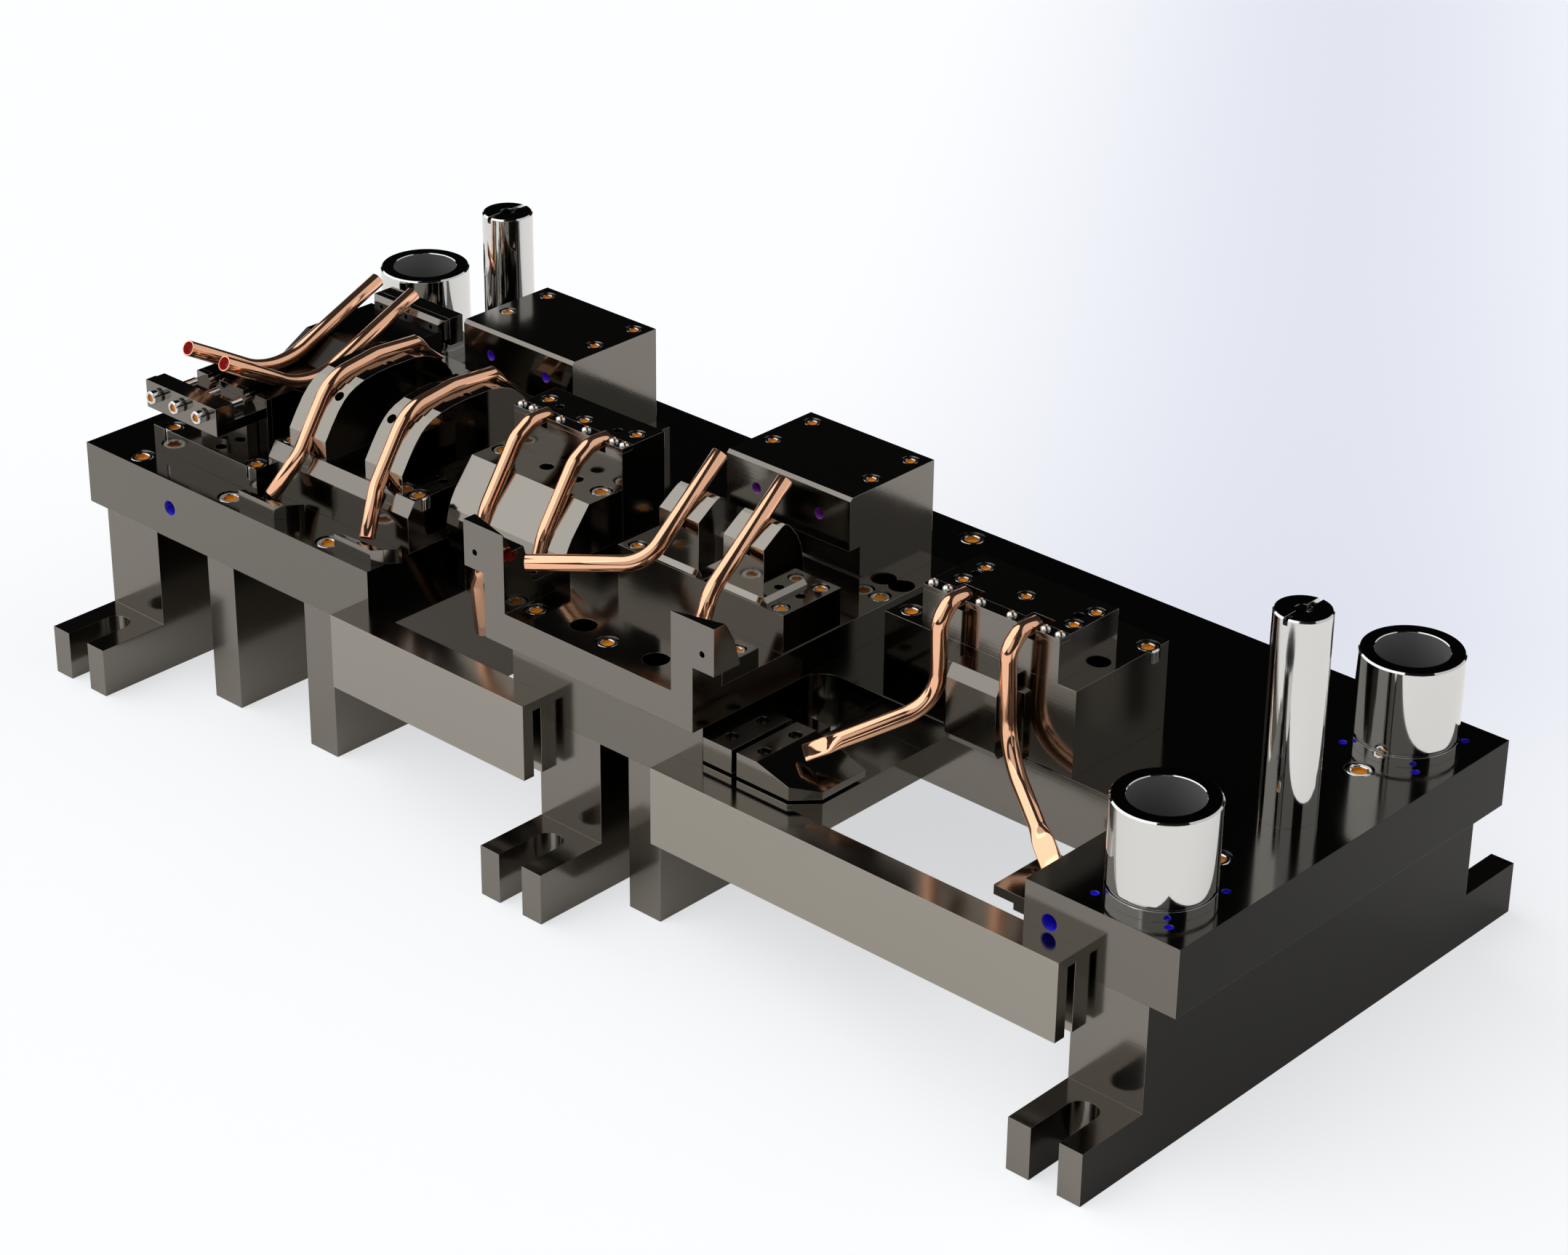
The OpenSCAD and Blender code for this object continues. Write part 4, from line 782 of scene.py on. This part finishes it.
def pierce_paths():
    """Two tubes from the clamping head down to the cam pad and to the shelf, with flattened tips."""
    left, right = PIERCE_X - PIERCE_OFF, PIERCE_X + PIERCE_OFF
    left_path = level_route(left, [(107.4, 222), (93.5, 222), (85, 214), (86, 162)])
    left_path += [die(CAM_X + 44, 38, 146.5)]
    right_path = level_route(right, [(107.4, 222), (93.5, 222), (84, 214), (87, 150)])
    right_path += [die(SHELF_X - 6, 68, 126)]
    return [(left_path, [7, 12, 26], die(CAM_X + 30, 22.8, 138.5)),
        (right_path, [7, 12, 40], die(SHELF_X + 16, 55, 115.2))]


TUBE_PATHS = {
    "bend_tubes": bend_paths,
    "saddle_tubes": saddle_paths,
    "flare_tubes": flare_paths,
    "pinch_tubes": pinch_paths,
    "pierce_tubes": pierce_paths,
}


class DIE_OT_tubes(bpy.types.Operator):
    """Adds the five pairs of copper tubes"""

    bl_idname = "die.tubes"
    bl_label = "Tubes"

    def execute(self, context):
        for node, paths in TUBE_PATHS.items():
            def build(made, paths=paths):
                for path, bends, tip in paths():
                    add_tube(made, path, bends, tip)
            name = f"{node}_pair"
            finishes = ["copper", "tube_lining"]
            new_piece(name, mesh_from(name, build), body_of_node(node), finishes, node)
        return {"FINISHED"}


# Tapped holes


FRONT_TAPS = ((82, 122.1), (801.3, 122.1))
NOSE_TAPS = (
    (206.7, 165.3, "tap_violet"), (256.3, 165.3, "tap_violet"),
    (460.7, 139.5, "tap_purple"), (510.3, 139.5, "tap_purple"))
NOSE_TAP_Z = 213.6
# Radius and length of a lining; this and all that follows up to the toe holes is in mm
FRONT_TAP_SIZE = (5.08, 18)
NOSE_TAP_SIZE = (3.38, 14)
TAP_INSET = 0.4
TAP_END_RADIUS = 0.3
TAP_SIDES = 40
THREAD_PITCH = 1.5
# The thread's crests and valleys: the share of the pitch at which each comes, and how far it stands in
THREAD_STEPS = ((0.1, 0.5), (0.5, 0.05))
BUSHING_CENTRES = ((844, 38), (844, 260), (42, 260))
TOE_OFF = 24.4
TOE_HOLES = tuple((x + i * TOE_OFF, y + j * TOE_OFF)
    for x, y in BUSHING_CENTRES for i in SIDES for j in SIDES)
TOE_CUP = ((2.48, -0.2), (2.3, -0.5), (2.3, -1.2))
TOE_SIDES = 24


def add_tap(made, mouth, radius, length):
    """The ridged lining of a tapped hole that runs back along Y from its mouth."""
    x, y, z = Vector((1, 0, 0)), Vector((0, 1, 0)), Vector((0, 0, 1))
    rings = [circle_points(mouth, x, z, radius * MM, TAP_SIDES)]
    for k in range(int(length / THREAD_PITCH)):
        for part, depth in THREAD_STEPS:
            place = mouth + y * ((k + part) * THREAD_PITCH * MM)
            rings.append(circle_points(place, x, z, (radius - depth) * MM, TAP_SIDES))
    rings.append(circle_points(mouth + y * (length * MM), x, z, TAP_END_RADIUS * MM, TAP_SIDES))
    skin_rings(made, rings, smooth=False)


def add_toe_lining(made, mouth):
    """A shallow cup in one of the small holes round a bushing."""
    x, y, z = Vector((1, 0, 0)), Vector((0, 1, 0)), Vector((0, 0, 1))
    rings = [circle_points(mouth + z * (h * MM), x, y, r * MM, TOE_SIDES) for r, h in TOE_CUP]
    rows = skin_rings(made, rings, smooth=False)
    made.faces.new(rows[-1])


class DIE_OT_taps(bpy.types.Operator):
    """Adds the linings of the holes in the shoe's front, the drivers' noses and round the bushings"""

    bl_idname = "die.taps"
    bl_label = "Tapped holes"

    def execute(self, context):
        for k, (x, z) in enumerate(FRONT_TAPS):
            mouth = die(x, TAP_INSET, z)
            name = f"front_tap_lining_{k}"
            mesh = mesh_from(name, lambda made: add_tap(made, mouth, *FRONT_TAP_SIZE))
            new_piece(name, mesh, "die", ["tap_blue"])
        for k, (x, y, finish) in enumerate(NOSE_TAPS):
            mouth = die(x, y + TAP_INSET, NOSE_TAP_Z)
            name = f"nose_tap_lining_{k}"
            mesh = mesh_from(name, lambda made: add_tap(made, mouth, *NOSE_TAP_SIZE))
            new_piece(name, mesh, "die", [finish])

        def build(made):
            for x, y in TOE_HOLES:
                add_toe_lining(made, die(x, y, DECK))
        mesh = mesh_from("toe_hole_linings", build)
        new_piece("toe_hole_linings", mesh, "die", ["tap_blue"])
        return {"FINISHED"}


# Finishes on the carried-over pieces


def finish_for(node):
    """The finish of a carried-over piece."""
    if node in BLACK_NODES:
        return "black_steel"
    if node == "lower_shoe":
        return "shoe_steel"
    if node == "riser_far_right":
        return "end_steel"
    if node.startswith("riser"):
        return "riser_steel"
    if node.startswith("tie_bar"):
        return "bar_steel"
    if "form" in node:
        return "form_steel"
    if node in POST_NODES or node in BUSHING_NODES or node == "cam_pins":
        return "chrome"
    return "ground_steel"


class DIE_OT_finishes(bpy.types.Operator):
    """Gives each carried-over piece its machined finish"""

    bl_idname = "die.finishes"
    bl_label = "Finishes"

    def execute(self, context):
        for node, piece in frame["nodes"].items():
            piece.data.materials.clear()
            piece.data.materials.append(material(finish_for(node)))
        return {"FINISHED"}


# Stage


# The camera's place is in mm like the routes, its turn in radians, its lens and sensor in mm
CAMERA_PLACE = (1856.7, -1368.7, 1195.0)
CAMERA_TURN = (1.0892, -0.0104, 0.7439)
CAMERA_LENS = 88.64
CAMERA_SENSOR = 36
CAMERA_REACH = 50

FLOOR_HALF = 14.0
FLOOR_ROUGHNESS = 0.9
FLOOR_SPECULAR = 0.1
# The floor's colour under the lamps, plainly and in the polished steel
FLOOR_LIT = (0.5, 0.5, 0.5)
FLOOR_MIRRORED = (0.97, 0.95, 0.92)
# The floor's glow: as a share of its set colour to the camera, and its colour in the polished steel
GLOW_SHARE = 0.66
GLOW_MIRRORED = (0.22, 0.21, 0.20)
BLACK = (0, 0, 0)

# The painted shadow on the floor, a soft bluish band: its directions, its middle line, its half width
# and where it sets in
PAINTED_SHADOW_COLOUR = (0.40, 0.42, 0.50)
PAINTED_SHADOW_ACROSS = (0.831, 0.557, 0)
PAINTED_SHADOW_AWAY = (-0.557, 0.831, 0)
PAINTED_SHADOW_MIDDLE = 0.34
PAINTED_SHADOW_HALF = 0.42
PAINTED_SHADOW_RISE = (-0.15, 0.3)

SKY = (0.13, 0.14, 0.16)
SKY_MIRRORED = (0.010, 0.010, 0.010)
# Name, the direction that it shines from, strength and angle in degrees
SUNS = (
    ("sun_soft", (-0.62, -0.48, 0.68), 2.05, 88),
    ("sun_back", (0.62, 0.62, 0.44), 0.8, 75),
    ("sun_fill", (0.35, -0.75, 0.55), 0.35, 50))


def painted_floor_shadow(tree):
    """How deep the painted shadow on the floor is: a soft bluish band that runs away behind the die's
    right half.
    """
    place = add(tree, "TexCoord")
    reaches = []
    for way in (PAINTED_SHADOW_ACROSS, PAINTED_SHADOW_AWAY):
        dot = add(tree, "VectorMath", operation="DOT_PRODUCT")
        tree.links.new(place.outputs["Object"], dot.inputs[0])
        dot.inputs[1].default_value = way
        reaches.append(dot.outputs["Value"])
    across, away = reaches
    off_middle = maths(tree, "ABSOLUTE", maths(tree, "SUBTRACT", across, PAINTED_SHADOW_MIDDLE))
    bands = []
    for value, low, high in ((off_middle, PAINTED_SHADOW_HALF, 0.0), (away, *PAINTED_SHADOW_RISE)):
        span = add(tree, "MapRange", interpolation_type="SMOOTHSTEP")
        tree.links.new(value, span.inputs["Value"])
        span.inputs["From Min"].default_value = low
        span.inputs["From Max"].default_value = high
        bands.append(span.outputs["Result"])
    return maths(tree, "MULTIPLY", *bands)


class DIE_OT_stage(bpy.types.Operator):
    """Adds the pale floor, the soft light and the camera"""

    bl_idname = "die.stage"
    bl_label = "Stage"

    def execute(self, context):
        self.add_floor(context.scene)
        self.add_sky(context.scene)
        for name, source, strength, angle in SUNS:
            self.add_sun(context.scene, name, source, strength, math.radians(angle))
        self.add_camera(context.scene)
        context.scene.view_settings.view_transform = "Standard"
        return {"FINISHED"}

    def add_floor(self, scene):
        """A pale floor that keeps the die's shadow and that the polished steel mirrors."""
        corners = [Vector((x * FLOOR_HALF, y * FLOOR_HALF, 0))
            for x, y in ((-1, -1), (1, -1), (1, 1), (-1, 1))]
        mesh = mesh_from("floor", lambda made: made.faces.new([made.verts.new(c) for c in corners]))
        floor = bpy.data.objects.new("floor", mesh)
        scene.collection.objects.link(floor)
        finish, tree, shader = new_material("floor_paint")
        path = add(tree, "LightPath")
        mirrored, seen = path.outputs["Is Glossy Ray"], path.outputs["Is Camera Ray"]
        tree.links.new(mix(tree, mirrored, FLOOR_LIT, FLOOR_MIRRORED), shader.inputs["Base Color"])
        shader.inputs["Roughness"].default_value = FLOOR_ROUGHNESS
        shader.inputs["Specular IOR Level"].default_value = FLOOR_SPECULAR
        # The floor's glow to the camera, lowered to a bluish painted shadow in a band behind the die's
        # right half
        glow_with_painted_shadow = mix(tree, painted_floor_shadow(tree), [GLOW_SHARE * v for v in colours().floor], PAINTED_SHADOW_COLOUR)
        glow = mix(tree, seen, mix(tree, mirrored, BLACK, GLOW_MIRRORED), glow_with_painted_shadow)
        tree.links.new(glow, shader.inputs["Emission Color"])
        shader.inputs["Emission Strength"].default_value = 1
        mesh.materials.append(finish)

    def add_sky(self, scene):
        """A dim grey sky, darker still where the polished steel mirrors it."""
        scene.world = bpy.data.worlds.new("studio")
        scene.world.use_nodes = True
        tree = scene.world.node_tree
        background = tree.nodes["Background"]
        mirrored = add(tree, "LightPath").outputs["Is Glossy Ray"]
        tree.links.new(mix(tree, mirrored, SKY, SKY_MIRRORED), background.inputs["Color"])
        background.inputs["Strength"].default_value = 1

    def add_sun(self, scene, name, source, strength, angle):
        """A sun that shines from the direction given."""
        data = bpy.data.lights.new(name, "SUN")
        data.energy = strength
        data.angle = angle
        sun = bpy.data.objects.new(name, data)
        sun.rotation_euler = Vector(source).to_track_quat("Z", "Y").to_euler()
        scene.collection.objects.link(sun)

    def add_camera(self, scene):
        """The camera, at the place that the photograph was taken from."""
        camera = bpy.data.objects.new("camera", bpy.data.cameras.new("camera"))
        camera.location = die(*CAMERA_PLACE)
        camera.rotation_euler = CAMERA_TURN
        camera.data.lens = CAMERA_LENS
        camera.data.sensor_width = CAMERA_SENSOR
        camera.data.clip_end = CAMERA_REACH
        scene.collection.objects.link(camera)
        scene.camera = camera


class DIE_PT_panel(bpy.types.Panel):
    """Lists the steps that dress the die"""

    bl_idname = "DIE_PT_panel"
    bl_label = "Tube Forming Die"
    bl_space_type = "VIEW_3D"
    bl_region_type = "UI"
    bl_category = "Die"

    def draw(self, context):
        for step in STEPS:
            self.layout.operator(f"die.{step}")
        for settings in (context.scene.die_sizes, context.scene.die_colours):
            for name in settings.bl_rna.properties.keys():
                if name not in ("rna_type", "name"):
                    self.layout.prop(settings, name)


STEPS = ("finishes", "bushings", "screws", "taps", "tubes", "stage")
CLASSES = (
    DIE_PG_sizes, DIE_PG_colours, DIE_OT_finishes, DIE_OT_bushings, DIE_OT_screws, DIE_OT_taps,
    DIE_OT_tubes, DIE_OT_stage, DIE_PT_panel)


def register():
    for each in CLASSES:
        bpy.utils.register_class(each)
    bpy.types.Scene.die_sizes = bpy.props.PointerProperty(type=DIE_PG_sizes)
    bpy.types.Scene.die_colours = bpy.props.PointerProperty(type=DIE_PG_colours)


def unregister():
    del bpy.types.Scene.die_colours
    del bpy.types.Scene.die_sizes
    for each in reversed(CLASSES):
        bpy.utils.unregister_class(each)


def main():
    register()
    for step in STEPS:
        getattr(bpy.ops.die, step)()


if __name__ == "__main__":
    main()
